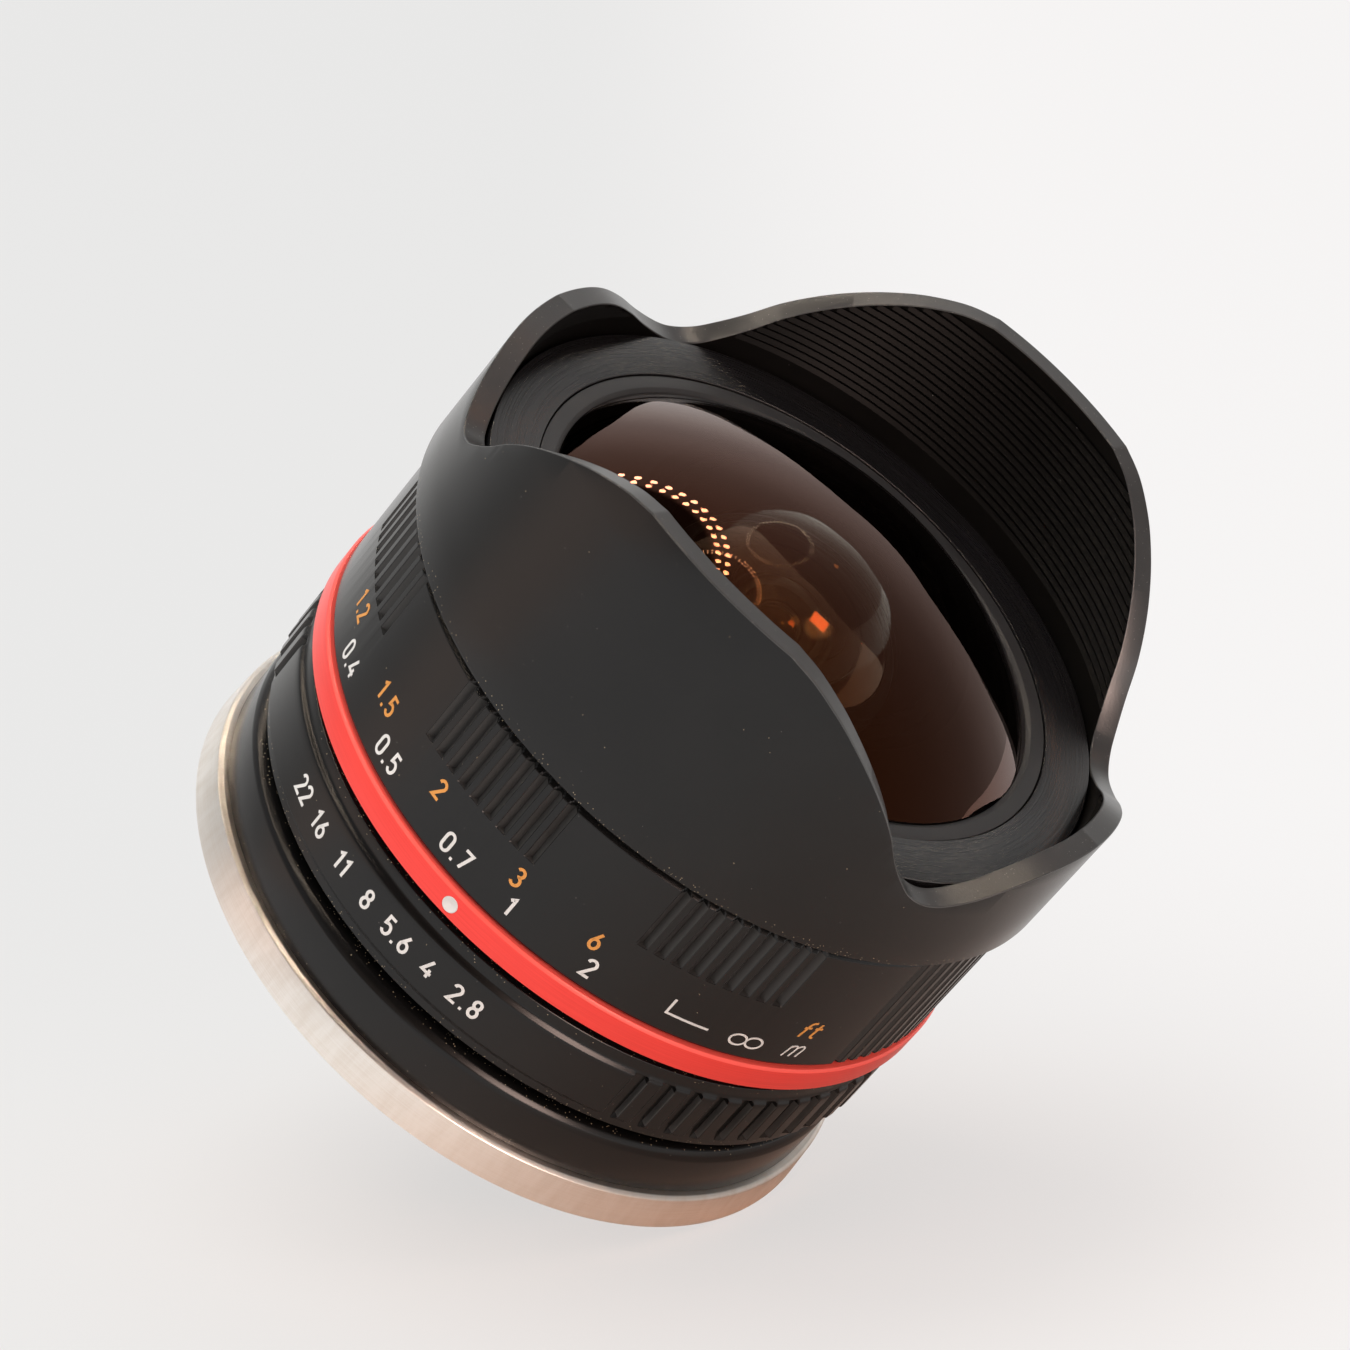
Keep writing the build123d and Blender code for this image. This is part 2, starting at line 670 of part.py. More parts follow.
with BuildPart() as barrel_screws:
    screw = pan_screw(barrel_screw_head, barrel_screw_head_height, barrel_screw_shank,
                      barrel_screw_end - barrel_screw_seat)
    with barrel_screw_places:
        add(lifted(screw, barrel_screw_seat))
keep(barrel_screws, "barrel_screws")

# Fixed barrel: a rear neck for the aperture ring, a collar, and a front neck for the focus ring
fork_half_angle = degrees(asin(fork_width / 2 / barrel_bore))
window_play = degrees(fork_window_play / barrel_bore)
window_first = fork_azimuth - aperture_rest - fork_half_angle - window_play
window_last = fork_azimuth + aperture_travel - aperture_rest + fork_half_angle + window_play
follower_rise = focus_extension / (focus_to_infinity + focus_to_nearest)
with BuildPart() as main_barrel:
    turn((barrel_bore, mount_barrel_front), (barrel_rear_radius, mount_barrel_front),
         (barrel_rear_radius, collar_rear), (collar_radius, collar_rear), (collar_radius, collar_front),
         (barrel_front_radius, collar_front), (barrel_front_radius, hood_seat), (barrel_bore, hood_seat))
    with BuildSketch(Plane.XZ.rotated((0, 0, window_first))) as window:
        with BuildLine():
            low = fork_rear - fork_screw_head_height - fork_window_play
            high = fork_rear + fork_thickness + fork_window_play
            Polyline((barrel_bore - overrun, low), (barrel_rear_radius + overrun, low),
                     (barrel_rear_radius + overrun, high), (barrel_bore - overrun, high), close=True)
        make_face()
    revolve(window.sketch, axis=Axis.Z, revolution_arc=window_last - window_first, mode=Mode.SUBTRACT)
    drill(barrel_screw_shank + fit_clearance, barrel_screw_places, mount_barrel_front, barrel_screw_end)
    drill(hood_screw_shank + fit_clearance, hood_screw_places, hood_screw_end, hood_seat)
    stop_place = around(stop_circle, stop_azimuth)
    drill(stop_radius + fit_clearance, Locations(stop_place), collar_front - stop_depth, collar_front)
    for number in range(follower_count):
        azimuth = follower_start + number * 360 / follower_count
        middle = follower_height + follower_rise * (focus_to_nearest - focus_to_infinity) / 2
        with BuildSketch(Plane(origin=(0, 0, middle), x_dir=(0, 0, 1), z_dir=around(1, azimuth))) as guide:
            SlotOverall(2 * (follower_radius + follower_play) + focus_extension,
                        2 * (follower_radius + run_clearance))
        extrude(guide.sketch, amount=barrel_front_radius + overrun, mode=Mode.SUBTRACT)
    ball_hole = barrel_rear_radius - 2 * ball_radius - spring_length - 2 * run_clearance
    with BuildSketch(facing(click_azimuth, ball_hole, click_height)) as hole:
        Circle(ball_radius + run_clearance)
    extrude(hole.sketch, amount=overrun + spring_length + 2 * ball_radius, mode=Mode.SUBTRACT)
keep(main_barrel, "main_barrel")

with BuildPart() as focus_stop_pin:
    with BuildSketch(Plane.XY.offset(collar_front - stop_depth)) as pin:
        with Locations(stop_place):
            Circle(stop_radius)
    extrude(pin.sketch, amount=stop_depth + stop_reach)
keep(focus_stop_pin, "focus_stop_pin")

# Click ball on its coil spring, held down between two detents
ball_centre = barrel_rear_radius - ball_radius
with BuildPart() as click_ball:
    with Locations(around(ball_centre, click_azimuth, click_height)):
        Sphere(ball_radius)
keep(click_ball, "click_ball")

with BuildPart() as click_spring:
    coil_radius = ball_radius - spring_wire / 2
    rise = spring_length - spring_wire
    with BuildLine() as coil:
        Helix(pitch=rise / spring_turns, height=rise, radius=coil_radius)
    with BuildSketch(Plane(coil.line @ 0, x_dir=(1, 0, 0), z_dir=coil.line % 0)) as wire:
        Rectangle(spring_wire, spring_wire)
    sweep(wire.sketch, path=coil.line)
spring_foot = facing(click_azimuth, ball_hole + run_clearance + spring_wire / 2, click_height)
click_spring.part = click_spring.part.moved(spring_foot.location)
keep(click_spring, "click_spring")

# Red ring and the index dot in it
with BuildPart() as red_ring:
    turn((collar_radius + fit_clearance, red_rear), (red_rear_radius, red_rear),
         (red_rear_radius, red_front - red_bevel_height), (ring_radius, red_front),
         (collar_radius + fit_clearance, red_front))
    dimple_foot = facing(index_azimuth, red_rear_radius - index_dot_depth, index_dot_height)
    with BuildSketch(dimple_foot) as dimple:
        Circle(index_dot_radius)
    extrude(dimple.sketch, amount=overrun, mode=Mode.SUBTRACT)
keep(red_ring, "red_ring")

with BuildPart() as index_dot:
    rim = index_dot_radius - fit_clearance
    turn((0, 0), (rim, 0), (rim, index_dot_depth), (0, index_dot_depth / 2))
index_dot.part = index_dot.part.moved(dimple_foot.location)
keep(index_dot, "index_dot")

# Aperture ring: grooves part the ribs, and the number panel between them is bare
rib_band = 360 - panel_end + panel_start
rib_count = int(rib_band // rib_pitch)
groove_start = index_azimuth + panel_end + (rib_band - rib_count * rib_pitch) / 2
trench_outline = ((aperture_floor_radius, aperture_rear - overrun),
                  (ring_radius + overrun, aperture_rear - overrun),
                  (ring_radius + overrun, aperture_bevel_front), (ring_radius, aperture_bevel_front),
                  (aperture_floor_radius, aperture_bevel_rear))


def trench(first, angle):
    """A cutter that lowers the ring to the floor of its grooves over an angle."""
    with BuildPart() as cutter:
        with BuildSketch(Plane.XZ.rotated((0, 0, first))) as section:
            with BuildLine():
                Polyline(*trench_outline, close=True)
            make_face()
        revolve(section.sketch, axis=Axis.Z, revolution_arc=angle)
    return cutter.part


with BuildPart() as aperture_ring:
    turn((aperture_bore, aperture_rear), (aperture_floor_radius - aperture_edge, aperture_rear),
         (aperture_floor_radius, aperture_rear + aperture_edge), (aperture_floor_radius, rib_rear),
         (ring_radius, rib_rear + rib_slope_height), (ring_radius, aperture_bevel_rear),
         (aperture_collar_radius, aperture_bevel_front),
         (aperture_collar_radius, aperture_front - aperture_edge),
         (aperture_collar_radius - aperture_edge, aperture_front), (aperture_bore, aperture_front))
    with PolarLocations(0, rib_count + 1, groove_start, rib_count * rib_pitch, endpoint=True):
        add(trench(-rib_groove_angle / 2, rib_groove_angle), mode=Mode.SUBTRACT)
    with BuildSketch(Plane.XY.offset(aperture_rear)) as pocket:
        with Locations((-(aperture_bore + fork_outer) / 2, 0)):
            Rectangle(fork_outer - aperture_bore + overrun, fork_width + 2 * fit_clearance)
        with BuildSketch(mode=Mode.INTERSECT):
            Circle(fork_outer + fit_clearance)
    extrude(pocket.sketch, amount=fork_rear + fork_thickness - aperture_rear, mode=Mode.SUBTRACT)
    drill(fork_screw_shank + fit_clearance, fork_screw_places, aperture_rear,
          fork_rear + fork_screw_length)
    # Detents of the click stops, cut where the ball meets the bore at each stop
    detents = [around(aperture_bore - ball_radius + click_depth,
                      click_azimuth + aperture_rest - number * click_step,
                      click_height) for number in range(click_count)]
    with Locations(*detents):
        Sphere(ball_radius, mode=Mode.SUBTRACT)
keep(aperture_ring, "aperture_ring")

# Fork that reaches through the barrel to the iris
fork_end = sqrt(fork_outer**2 - (fork_width / 2) ** 2)
with BuildPart() as aperture_fork:
    with BuildSketch(Plane.XY.offset(fork_rear)) as arm:
        with Locations((-(fork_end + fork_inner) / 2, 0)):
            Rectangle(fork_end - fork_inner, fork_width)
        with Locations((-(fork_inner + lever_circle) / 2, 0)):
            SlotOverall(fork_slot_length, 2 * (lever_radius + run_clearance),
                        mode=Mode.SUBTRACT)
    extrude(arm.sketch, amount=fork_thickness)
    drill(fork_screw_shank + fit_clearance, fork_screw_places, fork_rear, fork_rear + fork_thickness)
keep(aperture_fork, "aperture_fork")

with BuildPart() as fork_screws:
    screw = pan_screw(fork_screw_head, fork_screw_head_height, fork_screw_shank, fork_screw_length)
    with fork_screw_places:
        add(lifted(screw, fork_rear))
keep(fork_screws, "fork_screws")

# Focus ring
with BuildPart() as focus_ring:
    turn((focus_bore, focus_rear), (ring_radius - aperture_edge, focus_rear),
         (ring_radius, focus_rear + aperture_edge), (ring_radius, focus_chamfer_rear),
         (focus_front_radius, focus_front), (focus_bore, focus_front))
    for group in range(grip_groups):
        turned = group if group <= grip_groups / 2 else group - grip_groups
        rear = short_grip_rear if turned in short_grips else focus_rear - overrun
        span = (grip_groove_count - 1) * grip_groove_pitch
        first = index_azimuth + grip_centre + group * grip_pitch - span / 2
        with BuildSketch(Plane.XY.offset(rear)) as grooves:
            with PolarLocations(ring_radius, grip_groove_count, first, span, endpoint=True):
                Polygon((-grip_groove_depth, 0), (grip_groove_depth, -grip_groove_width),
                        (grip_groove_depth, grip_groove_width), align=None)
        extrude(grooves.sketch, amount=focus_front + overrun - rear, mode=Mode.SUBTRACT)
    drill(cam_screw_shank + fit_clearance, cam_screw_places, cam_screw_end, focus_front)
keep(focus_ring, "focus_ring")

# Cam ring: each slot is a flat arc tilted so that it climbs by the travel of the optics
slot_end = degrees(asin((follower_radius + run_clearance) / cam_radius)) + slot_margin
half_turn = (focus_to_infinity + focus_to_nearest) / 2
tilt = degrees(focus_extension / 2 / (cam_radius * sin(radians(half_turn))))
with BuildPart() as focus_cam_ring:
    turn((cam_bore, cam_rear), (cam_radius, cam_rear), (cam_radius, focus_front),
         (focus_front_radius, focus_front), (focus_front_radius, cam_flange_front),
         (cam_bore, cam_flange_front))
    for number in range(follower_count):
        middle = (focus_to_infinity - focus_to_nearest) / 2
        azimuth = follower_start + number * 360 / follower_count + middle
        level = follower_height + follower_rise * (focus_to_nearest - focus_to_infinity) / 2
        half_width = follower_radius + run_clearance
        with BuildPart(mode=Mode.PRIVATE) as cutter:
            with BuildSketch(Plane.XZ.rotated((0, 0, -half_turn - slot_end))) as section:
                with BuildLine():
                    Polyline((cam_bore - overrun, -half_width), (cam_radius + overrun, -half_width),
                             (cam_radius + overrun, half_width), (cam_bore - overrun, half_width),
                             close=True)
                make_face()
            revolve(section.sketch, axis=Axis.Z, revolution_arc=2 * (half_turn + slot_end))
        placed = cutter.part.rotate(Axis.X, -tilt).rotate(Axis.Z, azimuth)
        add(placed.moved(Location((0, 0, level))), mode=Mode.SUBTRACT)
    countersink(cam_screw_head, cam_screw_shank, cam_screw_places, cam_flange_front,
                cam_flange_front - focus_front, -1)
    arc_slot(stop_circle, stop_radius + run_clearance, stop_azimuth - focus_to_nearest,
             stop_azimuth + focus_to_infinity, cam_rear - overrun,
             collar_front + stop_reach + run_clearance)
keep(focus_cam_ring, "focus_cam_ring")

with BuildPart() as cam_ring_screws:
    screw = countersunk_screw(cam_screw_head, cam_screw_shank,
                              cam_flange_front - screw_recess - cam_screw_end).rotate(Axis.X, 180)
    with cam_screw_places:
        add(lifted(screw, cam_flange_front - screw_recess))
keep(cam_ring_screws, "cam_ring_screws")

# Hood: a turned shell, then four notches whose walls all point at the optical axis
notch_outline = large_flank_shares + ((0.0, 0.0),) + small_flank_shares
ridges = [(hood_bore, ridge_first + ridge_count * ridge_pitch)]
for number in reversed(range(ridge_count)):
    level = ridge_first + number * ridge_pitch
    ridges += [(hood_bore + ridge_depth, level + ridge_pitch / 2), (hood_bore, level)]
with BuildPart() as hood:
    turn((hood_skirt_bore, hood_rear), (hood_radius - hood_edge, hood_rear),
         (hood_radius, hood_rear + hood_edge), (hood_radius, large_petal_tip),
         (hood_bore, large_petal_tip), *ridges, (hood_bore, hood_floor), (hood_lip_bore, hood_floor),
         (hood_lip_bore, hood_seat), (barrel_front_radius + fit_clearance, hood_seat),
         (barrel_front_radius + fit_clearance, hood_web_rear), (hood_skirt_bore, hood_web_rear))
    for azimuth, side in ((notch_azimuth, 1), (notch_azimuth, -1), (180 - notch_azimuth, 1),
                          (180 - notch_azimuth, -1)):
        flip = side if azimuth < 90 else -side
        heading = index_azimuth + side * azimuth
        profiles = []
        for distance in (hood_bore / 2, hood_radius + overrun):
            lap = flip * distance * tan(radians(90 - notch_azimuth + notch_lap))
            points = []
            for angle, share in notch_outline:
                petal = large_petal_tip if angle < 0 else small_petal_tip
                points.append((flip * distance * tan(radians(angle)),
                               notch_bottom + share * (petal - notch_bottom)))
            sky = large_petal_tip + overrun
            plane = Plane(origin=around(distance, heading), x_dir=around(1, heading + 90),
                          z_dir=around(1, heading))
            with BuildSketch(plane) as profile:
                with BuildLine():
                    Spline(*points, tangents=((flip, 0), (flip, 0)))
                    Polyline(points[-1], (lap, points[-1][1]), (lap, sky), (points[0][0], sky), points[0])
                make_face()
            profiles.append(profile.sketch)
        loft(profiles, ruled=True, mode=Mode.SUBTRACT)
    countersink(hood_screw_head, hood_screw_shank, hood_screw_places, hood_floor,
                hood_floor - hood_seat, -1)
keep(hood, "hood")

with BuildPart() as hood_screws:
    screw = countersunk_screw(hood_screw_head, hood_screw_shank,
                              hood_floor - screw_recess - hood_screw_end).rotate(Axis.X, 180)
    with hood_screw_places:
        add(lifted(screw, hood_floor - screw_recess))
keep(hood_screws, "hood_screws")

# Glass, from the front
front_rear_clear = sqrt(glass["front_element"][3] ** 2
                        - (glass["front_element"][3] - glass["front_element"][2] + front_glass_rear) ** 2)
second_rear_clear = sqrt(glass["second_element"][3] ** 2
                         - (glass["second_element"][3] - glass["second_element"][2] + second_glass_rear) ** 2)
steps = {
    "front_element": ((front_clear_radius, front_seat), (front_rear_clear, front_glass_rear)),
    "second_element": ((second_clear_radius, second_seat), (second_rear_clear, second_glass_rear)),
}
for name in glass:
    with BuildPart() as lens:
        add(glass_element(name, *steps.get(name, (None, None))))
    keep(lens, name)

# Front cell: the cup for the front element and the snout that holds the next three groups
cup_bore = glass["front_element"][4] + fit_clearance
second_bore = glass["second_element"][4] + fit_clearance
second_thread = second_bore + thread_step
inner_bore = glass["third_element"][4] + fit_clearance
snout_radius = second_thread + snout_wall
with BuildPart() as front_cell:
    turn((inner_bore, snout_rear), (snout_radius, snout_rear), (snout_radius, cell_rear),
         (cell_neck_radius, cell_rear), (cell_neck_radius, cell_cup_rear), (cell_radius, cell_cup_rear),
         (cell_radius, cell_front), (retainer_radius + fit_clearance, cell_front),
         (retainer_radius + fit_clearance, retainer_rear), (cup_bore, retainer_rear),
         (cup_bore, front_glass_rear), (second_thread, front_glass_rear), (second_thread, second_seat),
         (second_bore, second_seat), (second_bore, second_glass_rear),
         (second_web_bore, second_glass_rear), (second_web_bore, second_seat_web),
         (inner_bore, second_seat_web))
    countersink(cell_screw_head, cell_screw_shank, cell_screw_places, front_glass_rear,
                front_glass_rear - cell_rear, -1)
keep(front_cell, "front_cell")

with BuildPart() as front_cell_screws:
    screw = countersunk_screw(cell_screw_head, cell_screw_shank,
                              front_glass_rear - screw_recess - cell_screw_end).rotate(Axis.X, 180)
    with cell_screw_places:
        add(lifted(screw, front_glass_rear - screw_recess))
keep(front_cell_screws, "front_cell_screws")

with BuildPart() as front_retainer:
    clear = front_clear_radius + run_clearance
    turn((clear, front_seat), (cup_bore, front_seat), (cup_bore, retainer_rear),
         (retainer_radius, retainer_rear), (retainer_radius, retainer_front), (clear, retainer_front))
keep(front_retainer, "front_retainer")

with BuildPart() as name_ring:
    turn((retainer_radius + name_ring_play, cell_front), (name_ring_radius, cell_front),
         (name_ring_radius, name_ring_front - name_ring_edge),
         (name_ring_radius - name_ring_edge, name_ring_front),
         (retainer_radius + name_ring_play, name_ring_front))
keep(name_ring, "name_ring")

with BuildPart() as second_retainer:
    tube(second_clear_radius + run_clearance, second_thread - fit_clearance, second_seat,
         second_retainer_front)
keep(second_retainer, "second_retainer")

spacer_bore = glass["third_element"][4] - spacer_wall
with BuildPart() as front_spacer:
    tube(spacer_bore, glass["third_element"][4], seat_height("fifth_element", 0, spacer_bore),
         seat_height("fourth_element", 1, spacer_bore))
keep(front_spacer, "front_spacer")

with BuildPart() as front_group_retainer:
    tube(spacer_bore, glass["third_element"][4], group_retainer_rear,
         seat_height("fifth_element", 1, spacer_bore))
keep(front_group_retainer, "front_group_retainer")

# Inner tube
with BuildPart() as lens_tube:
    turn((rear_cell_neck + fit_clearance, tube_rear), (tube_radius, tube_rear), (tube_radius, cell_rear),
         (tube_rim_bore, cell_rear), (tube_rim_bore, tube_rim_rear), (tube_bore, tube_rim_rear),
         (tube_bore, tube_band_front), (tube_band_bore, tube_band_front),
         (tube_band_bore, tube_band_rear), (tube_bore, tube_band_rear), (tube_bore, tube_web_front),
         (rear_cell_neck + fit_clearance, tube_web_front))
    drill(cell_screw_shank + fit_clearance, cell_screw_places, cell_screw_end - overrun, cell_rear)
    drill(iris_screw_shank + fit_clearance, iris_screw_places, iris_screw_end, tube_web_front)
    arc_slot(lever_circle, lever_radius + run_clearance, fork_azimuth - aperture_rest,
             fork_azimuth + aperture_travel - aperture_rest, tube_rear - overrun, tube_web_front)
    for number in range(follower_count):
        azimuth = follower_start + number * 360 / follower_count
        with BuildSketch(facing(azimuth, 0, follower_height)) as hole:
            Circle(follower_radius / 2 + fit_clearance)
        extrude(hole.sketch, amount=tube_radius + overrun, mode=Mode.SUBTRACT)
keep(lens_tube, "lens_tube")

# Followers: shouldered pins through the barrel's guides into the cam slots
follower_root = tube_radius + run_clearance
with BuildPart() as focus_followers:
    for number in range(follower_count):
        azimuth = follower_start + number * 360 / follower_count
        with BuildSketch(facing(azimuth, follower_root - follower_thread, follower_height)) as thread:
            Circle(follower_radius / 2)
        extrude(thread.sketch, amount=follower_thread)
        with BuildSketch(facing(azimuth, follower_root, follower_height)) as shoulder:
            Circle(follower_radius)
        extrude(shoulder.sketch, amount=cam_radius - follower_root - follower_end_gap)
keep(focus_followers, "focus_followers")

# Iris housing, its cover, the cam ring with its lever, and six blades
foot_front = tube_web_front + housing_foot_height
with BuildPart() as iris_housing:
    turn((iris_cam_radius + run_clearance, tube_web_front), (housing_foot_radius, tube_web_front),
         (housing_foot_radius, foot_front), (housing_radius, foot_front), (housing_radius, housing_front),
         (housing_stop, housing_front), (housing_stop, housing_front - housing_plate),
         (iris_cam_radius + run_clearance, housing_front - housing_plate))
    drill(iris_screw_shank + fit_clearance, iris_screw_places, tube_web_front, foot_front)
    drill(pivot_radius + run_clearance, PolarLocations(pivot_circle, blade_count),
          housing_front - housing_plate, housing_front)
keep(iris_housing, "iris_housing")

with BuildPart() as iris_cover:
    tube(rear_cell_neck + run_clearance, iris_cam_radius, tube_web_front, cover_front)
    arc_slot(lever_circle, lever_radius + run_clearance, fork_azimuth - aperture_rest,
             fork_azimuth + aperture_travel - aperture_rest, tube_web_front, cover_front)
keep(iris_cover, "iris_cover")

with BuildPart() as iris_screws:
    screw = pan_screw(iris_screw_head, iris_screw_head_height, iris_screw_shank,
                      foot_front - iris_screw_end).rotate(Axis.X, 180)
    with iris_screw_places:
        add(lifted(screw, foot_front))
keep(iris_screws, "iris_screws")

# The blade swings by a constant share of the ring's turn; at rest both are partly closed
open_to_closed = 2 * degrees(asin((blade_inner - closed_radius) / (2 * pivot_circle)))
blade_ratio = open_to_closed / aperture_travel
blade_rest = blade_ratio * aperture_rest
slot_steps = 8


def drive_point(ring_angle):
    """Place of a blade's drive pin, seen from the cam ring, at a ring angle from rest."""
    swing = radians(drive_angle + blade_rest + blade_ratio * ring_angle)
    point_x = pivot_circle + drive_distance * cos(swing)
    point_y = drive_distance * sin(swing)
    back = radians(-ring_angle)
    return (point_x * cos(back) - point_y * sin(back), point_x * sin(back) + point_y * cos(back))


with BuildSketch(Plane.XY.offset(iris_cam_rear)) as iris_slot:
    path = [drive_point(aperture_travel * k / slot_steps - aperture_rest) for k in range(slot_steps + 1)]
    with BuildLine() as track:
        Spline(*path)
    trace(track.line, line_width=2 * (pivot_radius + run_clearance))
    with Locations(path[0], path[-1]):
        Circle(pivot_radius + run_clearance)
with BuildPart() as iris_cam_ring:
    tube(iris_cam_bore, iris_cam_radius, iris_cam_rear, iris_cam_front)
    with BuildPart(mode=Mode.PRIVATE) as iris_cutter:
        extrude(iris_slot.sketch, amount=iris_cam_front - iris_cam_rear)
    with PolarLocations(0, blade_count):
        add(iris_cutter.part, mode=Mode.SUBTRACT)
    drill(lever_radius + fit_clearance, Locations((-lever_circle, 0)), iris_cam_rear, iris_cam_front)
keep(iris_cam_ring, "iris_cam_ring")

with BuildPart() as iris_lever_pin:
    with BuildSketch(Plane.XY.offset(lever_rear)) as pin:
        with Locations((-lever_circle, 0)):
            Circle(lever_radius)
    extrude(pin.sketch, amount=iris_cam_front - lever_rear)
keep(iris_lever_pin, "iris_lever_pin")

for blade in range(blade_count):
    level = blade_rear + blade * (blade_thickness + blade_gap)
    with BuildPart() as iris_blade:
        with BuildSketch(Plane.XY.offset(level)) as crescent:
            with BuildLine():
                middle = (blade_inner + blade_outer) / 2
                CenterArc((0, 0), middle, 0, blade_span)
            trace(line_width=blade_outer - blade_inner)
            pin_offset = around(drive_distance, drive_angle)
            with BuildLine():
                Line((pivot_circle, 0), (pivot_circle + pin_offset[0], pin_offset[1]))
            trace(line_width=2 * ear_radius)
            with Locations((pivot_circle, 0), (pivot_circle + pin_offset[0], pin_offset[1])):
                Circle(ear_radius)
            with BuildLine():
                Line((middle, ear_radius), (pivot_circle, 0))
            trace(line_width=2 * ear_radius)
        extrude(crescent.sketch, amount=blade_thickness)
        with BuildSketch(Plane.XY.offset(level)) as pivot:
            with Locations((pivot_circle, 0)):
                Circle(pivot_radius)
        extrude(pivot.sketch, amount=housing_front - run_clearance - level)
        with BuildSketch(Plane.XY.offset(iris_cam_rear + run_clearance)) as drive:
            with Locations((pivot_circle + pin_offset[0], pin_offset[1])):
                Circle(pivot_radius)
        extrude(drive.sketch, amount=level - iris_cam_rear - run_clearance)
    swung = iris_blade.part.moved(Location((-pivot_circle, 0, 0)))
    swung = swung.rotate(Axis.Z, blade_rest).moved(Location((pivot_circle, 0, 0)))
    iris_blade.part = swung.rotate(Axis.Z, blade * 360 / blade_count)
    keep(iris_blade, f"iris_blade_{blade + 1}")

# Rear cell: bores widen to the rear, so its four groups drop in one after another
cell_steps = []
opening = rear_cell_opening
for name in ("sixth_element", "eighth_element", "ninth_element", "rear_element"):
    cell_steps.append((glass[name][4] + fit_clearance, seat_height(name, 0, opening)))
    opening = cell_steps[-1][0]
with BuildPart() as rear_cell:
    outline = [(rear_cell_opening, rear_cell_front), (rear_cell_neck, rear_cell_front),
               (rear_cell_neck, tube_rear), (rear_cell_shoulder, tube_rear),
               (rear_cell_shoulder, tube_rear - rear_cell_shoulder_height),
               (rear_cell_radius, tube_rear - rear_cell_shoulder_height), (rear_cell_radius, rear_cell_rear)]
    below = rear_cell_rear
    for bore, seat in reversed(cell_steps):
        outline += [(bore, below), (bore, seat)]
        below = seat
    turn(*outline, (rear_cell_opening, below))
keep(rear_cell, "rear_cell")

spacer_seats = (("rear_spacer_front", "seventh_element", "eighth_element"),
                ("rear_spacer_middle", "eighth_element", "ninth_element"),
                ("rear_spacer_rear", "tenth_element", "rear_element"))
for name, ahead, behind in spacer_seats:
    with BuildPart() as spacer:
        outer = glass[ahead][4]
        inner = outer - spacer_wall
        tube(inner, outer, seat_height(behind, 0, inner), seat_height(ahead, 1, inner))
    keep(spacer, name)

with BuildPart() as rear_retainer:
    outer = glass["rear_element"][4]
    inner = outer - spacer_wall
    seat = seat_height("rear_element", 1, inner)
    tube(inner, outer, seat - rear_retainer_height, seat)
keep(rear_retainer, "rear_retainer")

os.makedirs("parts", exist_ok=True)
for piece in pieces:
    export_step(piece, f"parts/{piece.label}.step")
print(len(pieces), "pieces; blade ratio", round(blade_ratio, 5), "blade travel", round(open_to_closed, 3))
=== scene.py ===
"""A manual fisheye lens with a petal hood, dressed around its CAD frame."""
import json
import math
from functools import partial

import bmesh
import bpy
from mathutils import Matrix, Vector


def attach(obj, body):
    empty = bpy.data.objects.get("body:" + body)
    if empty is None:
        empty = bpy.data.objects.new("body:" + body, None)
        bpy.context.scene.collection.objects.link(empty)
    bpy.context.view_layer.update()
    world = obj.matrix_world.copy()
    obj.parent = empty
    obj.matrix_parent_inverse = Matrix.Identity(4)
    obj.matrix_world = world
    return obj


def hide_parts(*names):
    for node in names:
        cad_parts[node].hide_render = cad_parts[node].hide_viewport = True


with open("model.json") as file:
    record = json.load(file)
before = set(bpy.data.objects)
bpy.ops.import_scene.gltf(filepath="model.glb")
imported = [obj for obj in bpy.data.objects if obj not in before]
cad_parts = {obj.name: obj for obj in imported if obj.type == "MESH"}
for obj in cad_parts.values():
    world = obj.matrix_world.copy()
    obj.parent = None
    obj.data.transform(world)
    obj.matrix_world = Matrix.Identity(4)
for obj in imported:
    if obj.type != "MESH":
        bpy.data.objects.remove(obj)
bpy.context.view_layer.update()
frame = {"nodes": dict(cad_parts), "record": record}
nodes = frame["nodes"]
scene = bpy.context.scene
scene.view_settings.view_transform = "Standard"

# Studio: the camera stands where the photograph was taken, 0.48 m in front of the lens. The lens lies
# on the rim of its flange, so the pale table is tilted against the optical axis; from below it is clear.
# Overhead hangs a ring lamp of small bulbs round a dark opening; the room behind the camera is dim.
MM = 0.001
camera_place = Vector((64.464, -386.073, 279.626)) * MM
camera_right = Vector((0.688907, 0.476129, 0.546542))
camera_up = Vector((-0.709938, 0.29106, 0.641304))
camera_back = Vector((0.146267, -0.829811, 0.538535))
sensor_width = 36.0
focal_length = 153.714
table_up = Vector((-0.65884, 0.09693, 0.74601)).normalized()
flange_edge_radius = 30.55 * MM
table_size = 0.9
table_white = (0.82, 0.805, 0.79, 1)
painted_contact_glow = (0.80, 0.60, 0.50, 1)
backdrop_white = (0.82, 0.817, 0.812, 1)
bright_white = (0.93, 0.915, 0.91, 1)
room_walls = ((0.0, (1.0, 0.99, 0.98, 1)), (0.1, (0.95, 0.94, 0.92, 1)), (0.2, (0.70, 0.69, 0.68, 1)),
              (0.33, (0.50, 0.495, 0.485, 1)), (0.48, (0.42, 0.42, 0.42, 1)),
              (0.72, (0.36, 0.36, 0.365, 1)))
room_low = (0.28, 0.21, 0.17, 1)
room_high = (0.02, 0.018, 0.018, 1)
shaded_wall = (0.10, 0.09, 0.08, 1)
warm_wall = (1.05, 0.84, 0.74, 1)
daylight = (13.0, 9.6, 8.3, 1)
